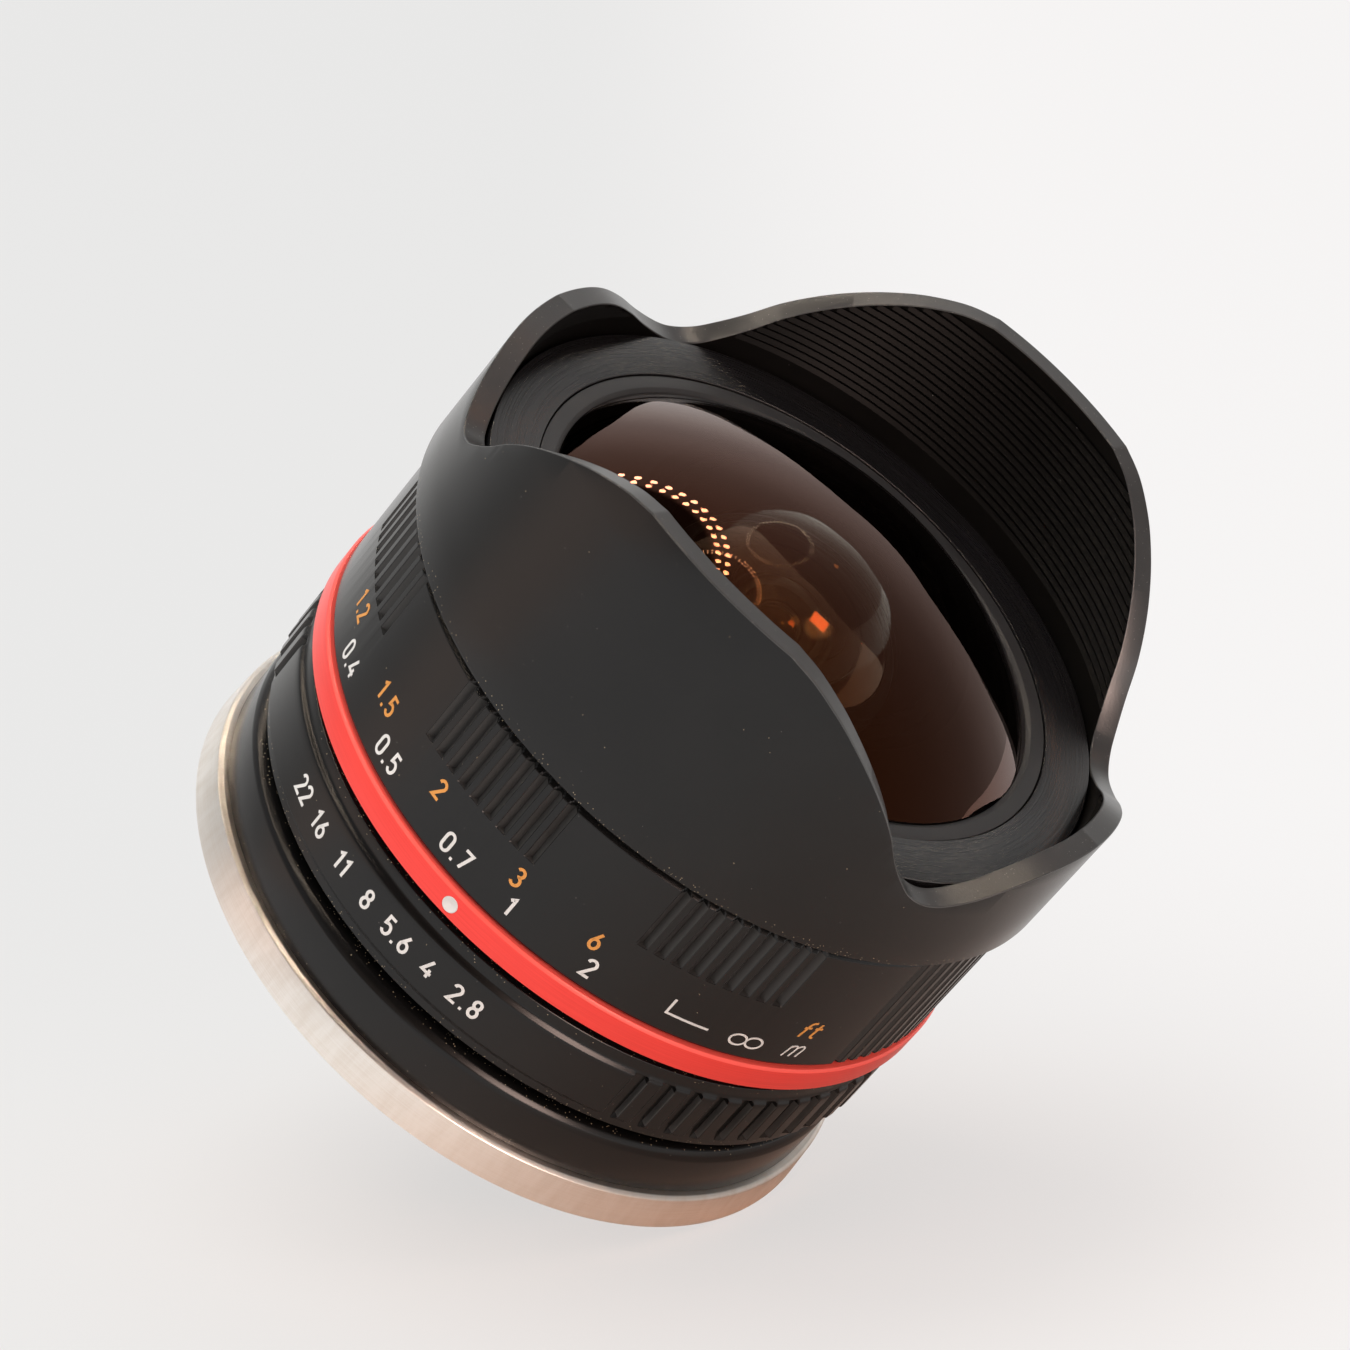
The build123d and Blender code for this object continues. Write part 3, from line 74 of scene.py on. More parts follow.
daylight_axis = (0.53 * camera_right - 0.08 * camera_up + 0.84 * camera_back).normalized()
window_light = (9.0, 3.0, 1.0, 1)
window_axis = (0.72 * camera_right + 0.68 * camera_up + 0.11 * camera_back).normalized()
window_half_width = 0.032
bulb_light = (32.0, 26.0, 20.0, 1)
lamp_opening = (0.05, 0.045, 0.04, 1)
lamp_axis = Vector((-0.6843, 0.0841, 0.7244)).normalized()
lamp_angle = 0.459
lamp_row_gap = 0.0175
bulb_half_width = 0.0105
bulbs_in_row = 58


def fill(tree, made, inputs):
    """Give a node's inputs their values or links."""
    for key, value in inputs.items():
        socket = made.inputs[key]
        if isinstance(value, bpy.types.NodeSocket):
            tree.links.new(value, socket)
        else:
            socket.default_value = value


def node_in(tree, kind, inputs=None, **settings):
    """A new node in a tree, with its settings and the values or links of its inputs."""
    made = tree.nodes.new(kind)
    for key, value in settings.items():
        setattr(made, key, value)
    fill(tree, made, inputs or {})
    return made


def maths(tree, operation, *values):
    """The result of a maths node."""
    return node_in(tree, "ShaderNodeMath", dict(enumerate(values)), operation=operation).outputs[0]


def xyz(tree, **parts):
    """A vector put together from its parts."""
    return node_in(tree, "ShaderNodeCombineXYZ", parts).outputs[0]


def object_spot(tree):
    """The place on the piece."""
    return node_in(tree, "ShaderNodeTexCoord").outputs["Object"]


def along(tree, vector, axis):
    """How far a vector reaches along a fixed axis."""
    made = node_in(tree, "ShaderNodeVectorMath", {0: vector, 1: axis}, operation="DOT_PRODUCT")
    return made.outputs["Value"]


def ranged(tree, value, low, high, first=0.0, last=1.0, way="LINEAR"):
    """A value's place between low and high, carried over to first and last."""
    limits = {"Value": value, "From Min": low, "From Max": high, "To Min": first, "To Max": last}
    return node_in(tree, "ShaderNodeMapRange", limits, interpolation_type=way).outputs[0]


def eased_step(tree, value, low, high):
    """A smooth step from 0 at low to 1 at high."""
    return ranged(tree, value, low, high, way="SMOOTHSTEP")


def mixed(tree, factor, first, second):
    """A colour between two."""
    return node_in(tree, "ShaderNodeMix", {0: factor, 6: first, 7: second}, data_type="RGBA").outputs[2]


def ramp_in(tree, factor, stops, interpolation="LINEAR"):
    """The colour output of a ramp with stops of (place, colour)."""
    made = node_in(tree, "ShaderNodeValToRGB", {"Fac": factor})
    ramp = made.color_ramp
    ramp.interpolation = interpolation
    while len(ramp.elements) < len(stops):
        ramp.elements.new(0.5)
    for element, (place, colour) in zip(ramp.elements, stops):
        element.position = place
        element.color = colour
    return made.outputs["Color"]


camera_data = bpy.data.cameras.new("photo_camera")
camera_data.sensor_width = sensor_width
camera_data.lens = focal_length
camera_data.clip_start = 0.01
camera_data.clip_end = 10.0
camera = bpy.data.objects.new("photo_camera", camera_data)
turned = Matrix((camera_right, camera_up, camera_back)).transposed().to_4x4()
camera.matrix_world = Matrix.Translation(camera_place) @ turned
scene.collection.objects.link(camera)
scene.camera = camera

world = bpy.data.worlds.new("studio")
scene.world = world
world.use_nodes = True
tree = world.node_tree
tree.nodes.clear()
calc = partial(maths, tree)
step = partial(eased_step, tree)
direction = node_in(tree, "ShaderNodeTexCoord").outputs["Generated"]
aim = partial(along, tree, direction)
to_room = calc("MULTIPLY_ADD", aim(camera_back), 0.5, 0.5)
walls = ramp_in(tree, to_room, room_walls, "EASE")
room = mixed(tree, step(aim(camera_up), 0.0, 0.4), room_low, room_high)
side_shade = calc("MULTIPLY", step(aim(camera_right), 0.3, 0.95), 0.6)
warm_side = step(aim(-camera_right - camera_up * 0.12 + camera_back * 0.1), 0.86, 1.0)
from_lamp = calc("ARCCOSINE", aim(lamp_axis))
in_lamp = step(from_lamp, lamp_angle - 0.02, lamp_angle - 0.05)
lamp_side = lamp_axis.orthogonal().normalized()
round_lamp = calc("ARCTAN2", aim(lamp_side), aim(lamp_axis.cross(lamp_side)))
off_row = calc("ABSOLUTE", calc("SUBTRACT", from_lamp, lamp_angle))
off_row = calc("ABSOLUTE", calc("SUBTRACT", off_row, lamp_row_gap))
off_bulb = calc("ARCCOSINE", calc("COSINE", calc("MULTIPLY", round_lamp, bulbs_in_row)))
off_bulb = calc("MULTIPLY", off_bulb, math.sin(lamp_angle) / bulbs_in_row)
off_centre = calc("SQRT", calc("MULTIPLY_ADD", off_row, off_row, calc("MULTIPLY", off_bulb, off_bulb)))
bulbs = calc("LESS_THAN", off_centre, bulb_half_width)
window_side = (camera_right - window_axis * camera_right.dot(window_axis)).normalized()
window_top = window_axis.cross(window_side)
off_window = calc("MAXIMUM", calc("ABSOLUTE", aim(window_side)), calc("ABSOLUTE", aim(window_top)))
in_window = calc("MULTIPLY", calc("LESS_THAN", off_window, window_half_width),
                 calc("GREATER_THAN", aim(window_axis), 0.0))
seen = node_in(tree, "ShaderNodeLightPath").outputs
mirrored = calc("MAXIMUM", seen["Is Glossy Ray"], seen["Is Transmission Ray"])
for share, tone in ((step(to_room, 0.76, 0.94), room), (side_shade, shaded_wall), (warm_side, warm_wall),
                    (in_lamp, lamp_opening), (step(aim(daylight_axis), 0.968, 0.992), daylight),
                    (calc("MULTIPLY", bulbs, mirrored), bulb_light),
                    (calc("MULTIPLY", in_window, mirrored), window_light)):
    walls = mixed(tree, share, walls, tone)
# The backdrop is painted brighter towards the right, a painted fall of light.
backdrop = mixed(tree, step(aim(camera_right), -0.1, 0.14), backdrop_white, bright_white)
colour = mixed(tree, seen["Is Camera Ray"], walls, backdrop)
light = node_in(tree, "ShaderNodeBackground", {"Color": colour, "Strength": 1.0})
node_in(tree, "ShaderNodeOutputWorld", {"Surface": light.outputs[0]})

table_low = -(math.hypot(table_up.x, table_up.y) * flange_edge_radius)
touching = Vector((-table_up.x, -table_up.y, 0)).normalized() * flange_edge_radius
table_mesh = bpy.data.meshes.new("table")
table_side = table_up.orthogonal().normalized()
table_end = table_up.cross(table_side)
square = ((-1, -1), (1, -1), (1, 1), (-1, 1))
corners = [table_up * table_low + table_side * sx * table_size + table_end * sy * table_size
           for sx, sy in square]
table_mesh.from_pydata(corners, [], [(0, 1, 2, 3)])
table = bpy.data.objects.new("table", table_mesh)
scene.collection.objects.link(table)
if table_mesh.polygons[0].normal.dot(table_up) < 0:
    table_mesh.flip_normals()
table_paint = bpy.data.materials.new("table_white")
table_paint.use_nodes = True
tree = table_paint.node_tree
tree.nodes.clear()
calc = partial(maths, tree)
step = partial(eased_step, tree)
spot = object_spot(tree)
away = node_in(tree, "ShaderNodeVectorMath", {0: spot, 1: touching}, operation="DISTANCE").outputs["Value"]
far = step(away, 0.004, 0.075)
seen = node_in(tree, "ShaderNodeLightPath").outputs
camera_ray = seen["Is Camera Ray"]
# Round the lens's foot the table is painted a warm blush, painted warm reflected light, in its own colour
# and in what reflections see.
matt = node_in(tree, "ShaderNodeBsdfDiffuse", {"Color": mixed(tree, far, painted_contact_glow, table_white)})
# Towards the right the table is painted a brighter white, a painted fall of light; reflections see that
# brighter white all over.
rightward = step(along(tree, spot, camera_right), -0.02, 0.075)
white = mixed(tree, calc("MAXIMUM", rightward, seen["Is Glossy Ray"]), backdrop_white, bright_white)
lit = mixed(tree, calc("MAXIMUM", far, camera_ray), painted_contact_glow, white)
glow = node_in(tree, "ShaderNodeEmission", {"Color": lit, "Strength": 1.0})
mirrored = calc("MAXIMUM", seen["Is Glossy Ray"], seen["Is Transmission Ray"])
open_table = step(away, 0.01, 0.16)
mirrored_share = calc("MULTIPLY", mirrored, calc("MULTIPLY_ADD", open_table, 0.86, 0.14))
camera_share = calc("MULTIPLY", camera_ray, calc("MULTIPLY_ADD", open_table, 0.24, 0.74))
share = calc("MAXIMUM", mirrored_share, camera_share)
pale = node_in(tree, "ShaderNodeMixShader", {0: share, 1: matt.outputs[0], 2: glow.outputs[0]})
clear = node_in(tree, "ShaderNodeBsdfTransparent")
under = node_in(tree, "ShaderNodeNewGeometry").outputs["Backfacing"]
sided = node_in(tree, "ShaderNodeMixShader", {0: under, 1: pale.outputs[0], 2: clear.outputs[0]})
node_in(tree, "ShaderNodeOutputMaterial", {"Surface": sided.outputs[0]})
table_mesh.materials.append(table_paint)


def softbox(name, place, size, power, tint):
    """A square soft light that looks at the lens and leaves no reflection of itself."""
    data = bpy.data.lights.new(name, "AREA")
    data.size = size
    data.energy = power
    data.color = tint
    lamp = bpy.data.objects.new(name, data)
    lamp.matrix_world = Matrix.Translation(place) @ place.to_track_quat("Z", "Y").to_matrix().to_4x4()
    lamp.visible_glossy = False
    lamp.visible_transmission = False
    scene.collection.objects.link(lamp)


softbox("overhead_softbox", lamp_axis * 0.6 - camera_right * 0.12, size=0.45, power=2.2,
        tint=(1.0, 0.99, 0.97))
softbox("front_softbox", camera_back * 0.5 + camera_up * 0.3 - camera_right * 0.3, size=0.5, power=2.3,
        tint=(1.0, 0.99, 0.98))

# Bayonet flange: brass turned in one piece with its spigot and three tabs, then nickel plated. Its
# seating face has a relief groove, four countersunk holes and the slot for the camera's lock pin.


def new_group(name, inputs, outputs):
    """A shader group with number inputs and their defaults, its given values and its output node."""
    group = bpy.data.node_groups.new(name, "ShaderNodeTree")
    for label, default in inputs.items():
        socket = group.interface.new_socket(name=label, in_out="INPUT", socket_type="NodeSocketFloat")
        socket.default_value = default
    for label in outputs:
        group.interface.new_socket(name=label, in_out="OUTPUT", socket_type="NodeSocketFloat")
    return group, group.nodes.new("NodeGroupInput").outputs, group.nodes.new("NodeGroupOutput")


def around_axis(tree, spot):
    """A place's x, y and z, and how far it lies from the optical axis."""
    parts = node_in(tree, "ShaderNodeSeparateXYZ", {0: spot})
    x, y, z = (parts.outputs[label] for label in "XYZ")
    reach = node_in(tree, "ShaderNodeVectorMath", {0: xyz(tree, X=x, Y=y)}, operation="LENGTH")
    return x, y, z, reach.outputs["Value"]


def noise(tree, place, scale, detail, rough=0.5):
    """Clouded noise of one scale."""
    settings = {"Vector": place, "Scale": scale, "Detail": detail, "Roughness": rough}
    return node_in(tree, "ShaderNodeTexNoise", settings).outputs["Fac"]


def dots(tree, spot, scale, size, share):
    """A mask of fine dots, which a share of the cells of a scattering have."""
    cells = node_in(tree, "ShaderNodeTexVoronoi", {"Vector": spot, "Scale": scale})
    chance = node_in(tree, "ShaderNodeSeparateColor", {0: cells.outputs["Color"]}).outputs[0]
    return maths(tree, "MULTIPLY", maths(tree, "LESS_THAN", cells.outputs["Distance"], size),
                 maths(tree, "LESS_THAN", chance, share))


# Turned finish: fine tool lines that run round the axis, as a height and as a faint change of shade
turned_finish, given, result = new_group("turned_finish", {"Pitch": 0.00008, "Wander": 3.0},
                                         ("Height", "Shade"))
calc = partial(maths, turned_finish)
x, y, z, reach = around_axis(turned_finish, object_spot(turned_finish))
lines = xyz(turned_finish, X=calc("DIVIDE", reach, given["Pitch"]),
            Y=calc("DIVIDE", z, given["Pitch"]),
            Z=calc("MULTIPLY", calc("ARCTAN2", y, x), given["Wander"]))
tooling = noise(turned_finish, lines, scale=1.0, detail=2.0, rough=0.6)
fill(turned_finish, result, {"Height": tooling, "Shade": tooling})

# Blasted grain: the fine even tooth of bead blasting under anodising, with a few brighter specks
blasted_grain, given, result = new_group("blasted_grain", {"Grain": 9000.0, "Specks": 0.5},
                                         ("Height", "Speck", "Cloud"))
spot = object_spot(blasted_grain)
fill(blasted_grain, result, {
    "Height": noise(blasted_grain, spot, given["Grain"], detail=2.0, rough=0.7),
    "Speck": dots(blasted_grain, spot, scale=2600.0, size=0.10, share=given["Specks"]),
    "Cloud": noise(blasted_grain, spot, scale=140.0, detail=3.0)})


def new_material(name):
    """A node material's tree with its Principled shader, and the material."""
    made = bpy.data.materials.new(name)
    made.use_nodes = True
    return made, made.node_tree, made.node_tree.nodes["Principled BSDF"]


def placed_group(tree, group, **values):
    """A group node in a material, with values on its named inputs."""
    return node_in(tree, "ShaderNodeGroup", values, node_tree=group)


# Dust: pale flecks that gather in the gaps between the rings, with a rare one on the open faces
dust_tone = (0.26, 0.21, 0.14, 1)
gap_dust, given, result = new_group("gap_dust", {"Amount": 0.25}, ("Fleck",))
spot = object_spot(gap_dust)
place = node_in(gap_dust, "ShaderNodeSeparateXYZ", {0: spot}).outputs["Z"]
gaps = ((0.055, 0.0), (0.062, 0.6), (0.068, 0.0), (0.132, 0.0), (0.140, 1.0), (0.160, 1.0), (0.170, 0.003),
        (0.270, 0.003), (0.280, 0.5), (0.304, 0.5), (0.310, 0.003), (0.560, 0.003), (0.572, 0.9),
        (0.585, 0.9), (0.595, 0.003))
near_gap = ramp_in(gap_dust, maths(gap_dust, "DIVIDE", place, 0.06),
                   [(at, (value, value, value, 1)) for at, value in gaps])
near_gap = node_in(gap_dust, "ShaderNodeRGBToBW", {0: near_gap}).outputs[0]
wanted = maths(gap_dust, "MULTIPLY", near_gap, given["Amount"])
fill(gap_dust, result, {"Fleck": dots(gap_dust, spot, scale=5200.0, size=0.24, share=wanted)})

# Groove light paint: grey painted into milled grooves to lighten their shade, painted light between two
# radii and two heights
groove_film, given, result = new_group(
    "groove_film", {"Inner": 0.0293, "Outer": 0.02997, "Rear": 0.021, "Front": 0.0334}, ("Lightening",))
calc = partial(maths, groove_film)
spot = object_spot(groove_film)
x, y, z, reach = around_axis(groove_film, spot)
groove_lightening = eased_step(groove_film, calc("SUBTRACT", given["Outer"], reach), 0.0, 0.00006)
for side, value, limit in (("GREATER_THAN", reach, "Inner"), ("GREATER_THAN", z, "Rear"),
                           ("LESS_THAN", z, "Front")):
    groove_lightening = calc("MULTIPLY", groove_lightening, calc(side, value, given[limit]))
light_patches = calc("MULTIPLY_ADD", noise(groove_film, spot, scale=300.0, detail=3.0), 0.6, 0.65)
fill(groove_film, result, {"Lightening": calc("MULTIPLY", groove_lightening, light_patches)})

# Plating stains: soft streaks that run along the axis, from wiping and handling
wipe_streaks, given, result = new_group("wipe_streaks", {"Streaks": 24.0}, ("Stain",))
calc = partial(maths, wipe_streaks)
x, y, z, reach = around_axis(wipe_streaks, object_spot(wipe_streaks))
laid = xyz(wipe_streaks, X=calc("MULTIPLY", calc("ARCTAN2", y, x), given["Streaks"]),
           Y=calc("MULTIPLY", z, 180.0))
fill(wipe_streaks, result, {"Stain": noise(wipe_streaks, laid, scale=1.0, detail=4.0, rough=0.65)})


def relief(tree, finish, depth):
    """The normal of a surface with the height of a finish laid on it to one depth."""
    laid = {"Height": finish.outputs["Height"], "Strength": 1.0, "Distance": depth}
    return node_in(tree, "ShaderNodeBump", laid).outputs[0]


def metal_finish(name, tone, shade, metallic, rough, pitch, depth, stained=0.6, gloss=0.5):
    """A turned surface: tone and shade are its colour between and in the tool lines and stains."""
    made, tree, shader = new_material(name)
    finish = placed_group(tree, turned_finish, Pitch=pitch)
    blend = finish.outputs["Shade"]
    if stained:
        stain = placed_group(tree, wipe_streaks, Streaks=26.0).outputs["Stain"]
        blend = maths(tree, "MULTIPLY_ADD", blend, 1.0 - stained, maths(tree, "MULTIPLY", stain, stained))
    fill(tree, shader, {"Base Color": ramp_in(tree, blend, ((0.40, shade), (0.58, tone))),
                        "Roughness": ranged(tree, blend, 0.35, 0.65, rough * 1.2, rough * 0.8),
                        "Normal": relief(tree, finish, depth),
                        "Metallic": metallic, "Specular IOR Level": gloss})
    return made


def anodised_finish(name, tone, cloudy, rough, grain, depth, specks=0.02, speck_tone=(0.1, 0.095, 0.09, 1),
                    dust=0.0, gloss=0.5):
    """A blasted and dyed surface: tone and cloudy are its colour's two ends, dust the flecks on it."""
    made, tree, shader = new_material(name)
    finish = placed_group(tree, blasted_grain, Grain=grain, Specks=specks)
    base = ramp_in(tree, finish.outputs["Cloud"], ((0.35, tone), (0.65, cloudy)))
    colour = mixed(tree, finish.outputs["Speck"], base, speck_tone)
    if dust:
        colour = mixed(tree, placed_group(tree, gap_dust, Amount=dust).outputs["Fleck"], colour, dust_tone)
    spread = ranged(tree, finish.outputs["Cloud"], 0.0, 1.0, rough * 0.88, rough * 1.12)
    fill(tree, shader, {"Base Color": colour, "Roughness": spread, "Normal": relief(tree, finish, depth),
                        "Specular IOR Level": gloss})
    return made


def creased(mesh, angle):
    """Shade a mesh smoothly, with sharp edges above an angle in degrees."""
    mesh.shade_smooth()
    mesh.set_sharp_from_angle(angle=math.radians(angle))


def closed_shell(name, mesh, smooth_angle=32.0):
    """Close a mesh's seams, turn its faces outwards and mark its sharp edges; gives the object."""
    work = bmesh.new()
    work.from_mesh(mesh)
    bmesh.ops.remove_doubles(work, verts=work.verts, dist=1e-7)
    bmesh.ops.dissolve_degenerate(work, edges=work.edges, dist=1e-7)
    bmesh.ops.recalc_face_normals(work, faces=work.faces)
    work.to_mesh(mesh)
    work.free()
    creased(mesh, smooth_angle)
    made = bpy.data.objects.new(name, mesh)
    scene.collection.objects.link(made)
    return made


def eased(outline, ease, steps=3):
    """A closed outline of (radius, height) with its corners rounded off, ease at most."""
    points = [Vector(p) for p in outline]
    soft = []
    for index, corner in enumerate(points):
        before = points[index - 1] - corner
        after = points[(index + 1) % len(points)] - corner
        if before.angle(after, math.pi) > math.radians(165):
            soft.append(corner)
            continue
        cut = min(ease, before.length * 0.4, after.length * 0.4)
        first = corner + before.normalized() * cut
        last = corner + after.normalized() * cut
        for step in range(steps + 1):
            t = step / steps
            soft.append(first * (1 - t) ** 2 + corner * 2 * t * (1 - t) + last * t**2)
    return soft


def column_at(outline, degrees):
    """An outline of (radius, height) in millimetres, stood up at an angle round the axis."""
    angle = math.radians(degrees)
    return [(r * MM * math.cos(angle), r * MM * math.sin(angle), z * MM) for r, z in outline]


def swept_mesh(name, columns, closed=True):
    """A mesh through columns of points, each a closed loop, that come back to the first or are capped."""
    count = len(columns[0])
    rings = len(columns)
    faces = []
    for ring in range(rings if closed else rings - 1):
        here = ring * count
        there = ((ring + 1) % rings) * count
        for k in range(count):
            after = (k + 1) % count
            faces.append((here + k, here + after, there + after, there + k))
    if not closed:
        faces += [tuple(range(count)), tuple(range((rings - 1) * count, rings * count))]
    mesh = bpy.data.meshes.new(name)
    mesh.from_pydata([point for column in columns for point in column], [], faces)
    return mesh


def turned_mesh(name, outline, segments=720, start=-90.0, span=360.0):
    """A mesh turned from a closed outline of (radius, height) in millimetres."""
    closed = span == 360.0
    rings = segments if closed else segments + 1
    columns = [column_at(outline, start + span * ring / segments) for ring in range(rings)]
    return swept_mesh(name, columns, closed)


def turned_part(name, outline, segments=720, start=-90.0):
    """An object turned from a closed outline of (radius, height) in millimetres."""
    return closed_shell(name, turned_mesh(name, outline, segments, start))


def dressed(made, body, material, slot, *replaced):
    """Give a finished piece its material and its body, and hide the nodes it stands for; the slot is not
    used.
    """
    if not made.data.materials:
        made.data.materials.append(material)
    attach(made, body)
    if replaced:
        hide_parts(*replaced)
    return made


def carved(made, cutters):
    """Cut other closed meshes out of a piece and drop the cutters."""
    for cutter in cutters:
        cut = made.modifiers.new("cut", "BOOLEAN")
        cut.operation = "DIFFERENCE"
        cut.solver = "EXACT"
        cut.object = cutter
    frozen(made)
    for cutter in cutters:
        bpy.data.objects.remove(cutter)
    creased(made.data, 32)
    return made


def frozen(made):
    """Turn an object's evaluated modifiers into its plain mesh."""
    bpy.context.view_layer.update()
    evaluated = made.evaluated_get(bpy.context.evaluated_depsgraph_get())
    mesh = bpy.data.meshes.new_from_object(evaluated)
    made.modifiers.clear()
    made.data = mesh
    return made


def moved(made, matrix):
    """Put a place into a piece's mesh and leave the object at the origin."""
    made.data.transform(matrix)
    return made


nickel_plate = metal_finish("nickel_plate", (0.93, 0.885, 0.83, 1), (0.86, 0.80, 0.73, 1), metallic=1.0,
                            rough=0.35, pitch=0.00007, depth=0.0000016)
flange_outline = [(20.2, -4.4), (21.85, -4.4), (21.85, 0.5), (23.6, 0.5), (23.6, 0), (30.55, 0),
                  (30.305, 3.19), (29.93, 3.44), (18.6, 3.44), (18.6, 2.24), (20.2, 2.24)]
flange = turned_part("bayonet_flange", eased(flange_outline, 0.08))
screw_circle = 26.6
screw_hole = [(0, -2), (1.92, -2), (1.92, 0.1), (1.02, 1.0), (1.02, 6), (0, 6)]
cutters = []
for number in range(4):
    hole = turned_part("hole", screw_hole, 48)
    angle = math.radians(45 + 90 * number)
    place = Vector((screw_circle * math.cos(angle), screw_circle * math.sin(angle), 0)) * MM
    cutters.append(moved(hole, Matrix.Translation(place)))
slot_sides = 48
slot_radius = 1.3
slot_half_length = 1.2
slot_turns = [math.tau * k / slot_sides for k in range(slot_sides)]
slot_loops = [[(math.cos(t) * slot_radius * MM,
                (math.sin(t) * slot_radius + math.copysign(slot_half_length, math.sin(t))) * MM, z * MM)
               for t in slot_turns] for z in (-1.0, 1.6)]
lock = closed_shell("lock_slot", swept_mesh("lock_slot", slot_loops, closed=False))
lock_turn = Matrix.Rotation(math.radians(190), 4, "Z")
cutters.append(moved(lock, lock_turn @ Matrix.Translation((screw_circle * MM, 0, 0))))
carved(flange, cutters)
dressed(flange, "barrel", nickel_plate, "mount_chrome", "bayonet_mount")
for number, (centre, width) in enumerate(zip((30.0, 150.0, 265.0), (56.0, 50.0, 44.0))):
    outline = eased([(21.7, -4.4), (22.9, -4.4), (22.9, -2.9), (21.7, -2.9)], 0.12)
    tab_mesh = turned_mesh("bayonet_tab", outline, 90, centre - width / 2, width)
    tab = closed_shell(f"bayonet_tab_{number + 1}", tab_mesh)
    dressed(tab, "barrel", nickel_plate, "mount_chrome")

# Screws of the mount and the baffle: small steel screws. The mount's are instanced round their circle and
# dropped into their countersinks, with crosses milled into their heads; the baffle's, with slots, keep their
# CAD shape further on.
blackened_steel = metal_finish("blackened_steel", (0.10, 0.10, 0.10, 1), (0.05, 0.05, 0.05, 1),
                               metallic=0.9, rough=0.32, pitch=0.00005, depth=0.000001)
bright_steel = metal_finish("bright_steel", (0.62, 0.60, 0.57, 1), (0.48, 0.46, 0.44, 1), metallic=1.0,
                            rough=0.28, pitch=0.00005, depth=0.000001)


def geometry_group(name, *labels):
    """A geometry tree with named number inputs, its given values and its output node."""
    group = bpy.data.node_groups.new(name, "GeometryNodeTree")
    kinds = {"Geometry": "NodeSocketGeometry", "Count": "NodeSocketInt", "Material": "NodeSocketMaterial"}
    for label in ("Geometry", *labels, "Material"):
        group.interface.new_socket(name=label, in_out="INPUT",
                                   socket_type=kinds.get(label, "NodeSocketFloat"))
    group.interface.new_socket(name="Geometry", in_out="OUTPUT", socket_type="NodeSocketGeometry")
    return group, group.nodes.new("NodeGroupInput").outputs, group.nodes.new("NodeGroupOutput")


def painted_end(tree, geometry, given, result):
    """End a geometry tree with plain geometry that carries the given material."""
    real = node_in(tree, "GeometryNodeRealizeInstances", {"Geometry": geometry}).outputs[0]
    painted = node_in(tree, "GeometryNodeSetMaterial", {"Geometry": real, "Material": given["Material"]})
    fill(tree, result, {0: painted.outputs[0]})


copies_round, given, result = geometry_group("copies_round", "Count", "Radius", "First", "Height")
calc = partial(maths, copies_round)
ring_line = node_in(copies_round, "GeometryNodeMeshCircle",
                    {"Vertices": given["Count"], "Radius": given["Radius"]}).outputs[0]
placed_line = node_in(copies_round, "GeometryNodeTransform", {
    "Geometry": ring_line, "Translation": xyz(copies_round, Z=given["Height"]),
    "Rotation": xyz(copies_round, Z=given["First"])}).outputs[0]
which = node_in(copies_round, "GeometryNodeInputIndex").outputs[0]
own_turn = calc("MULTIPLY_ADD", which, calc("DIVIDE", math.tau, given["Count"]), given["First"])
copies = node_in(copies_round, "GeometryNodeInstanceOnPoints", {
    "Points": placed_line, "Instance": given["Geometry"], "Rotation": xyz(copies_round, Z=own_turn)})
painted_end(copies_round, copies.outputs[0], given, result)


def with_tree(made, tree, **values):
    """Run a geometry node tree on an object with values on its named inputs, and freeze the result."""
    modifier = made.modifiers.new(tree.name, "NODES")
    modifier.node_group = tree
    for item in tree.interface.items_tree:
        label = item.name.replace(" ", "_")
        if item.in_out == "INPUT" and label in values:
            modifier[item.identifier] = values[label]
    return frozen(made)


head_outline = eased([(0.001, 0.1), (1.9, 0.1), (1.0, 1.0), (1.0, 5.9), (0.001, 5.9)], 0.05)
cross_head = turned_part("mount_screw_heads", head_outline, 64)
cutters = []
blade_reach = 1.14 * MM
blade_half_width = 0.175 * MM
blade_loops = [[(sx * blade_reach * share, sy * blade_half_width, z * MM)
                for sx, sy in square] for z, share in ((-0.5, 1.1), (0.75, 0.75))]
for turn_z in (0, 90):
    driver = closed_shell("driver", swept_mesh("driver", blade_loops, closed=False))
    cutters.append(moved(driver, Matrix.Rotation(math.radians(turn_z), 4, "Z")))
carved(cross_head, cutters)
with_tree(cross_head, copies_round, Count=4, Radius=screw_circle * MM, First=math.radians(45), Height=0.0,
          Material=bright_steel)
dressed(cross_head, "barrel", bright_steel, "steel", "mount_screws")

# Small pieces whose CAD shape is right keep it: a merged and smoothed copy of the node stands for it.


def smooth_copy(node, material, body, slot, smooth_angle=28.0):
    """A merged copy of a CAD node with smooth shading, which replaces the node."""
    made = closed_shell(f"{node}_part", nodes[node].data.copy(), smooth_angle)
    made.data.materials.clear()
    return dressed(made, body, material, slot, node)


moulded_black = anodised_finish("moulded_black", (0.014, 0.014, 0.0145, 1), (0.018, 0.018, 0.018, 1),
                                rough=0.55, grain=5000.0, depth=0.000004)
smooth_copy("rear_baffle", moulded_black, "barrel", "baffle_plastic")
smooth_copy("baffle_screws", blackened_steel, "barrel", "steel")

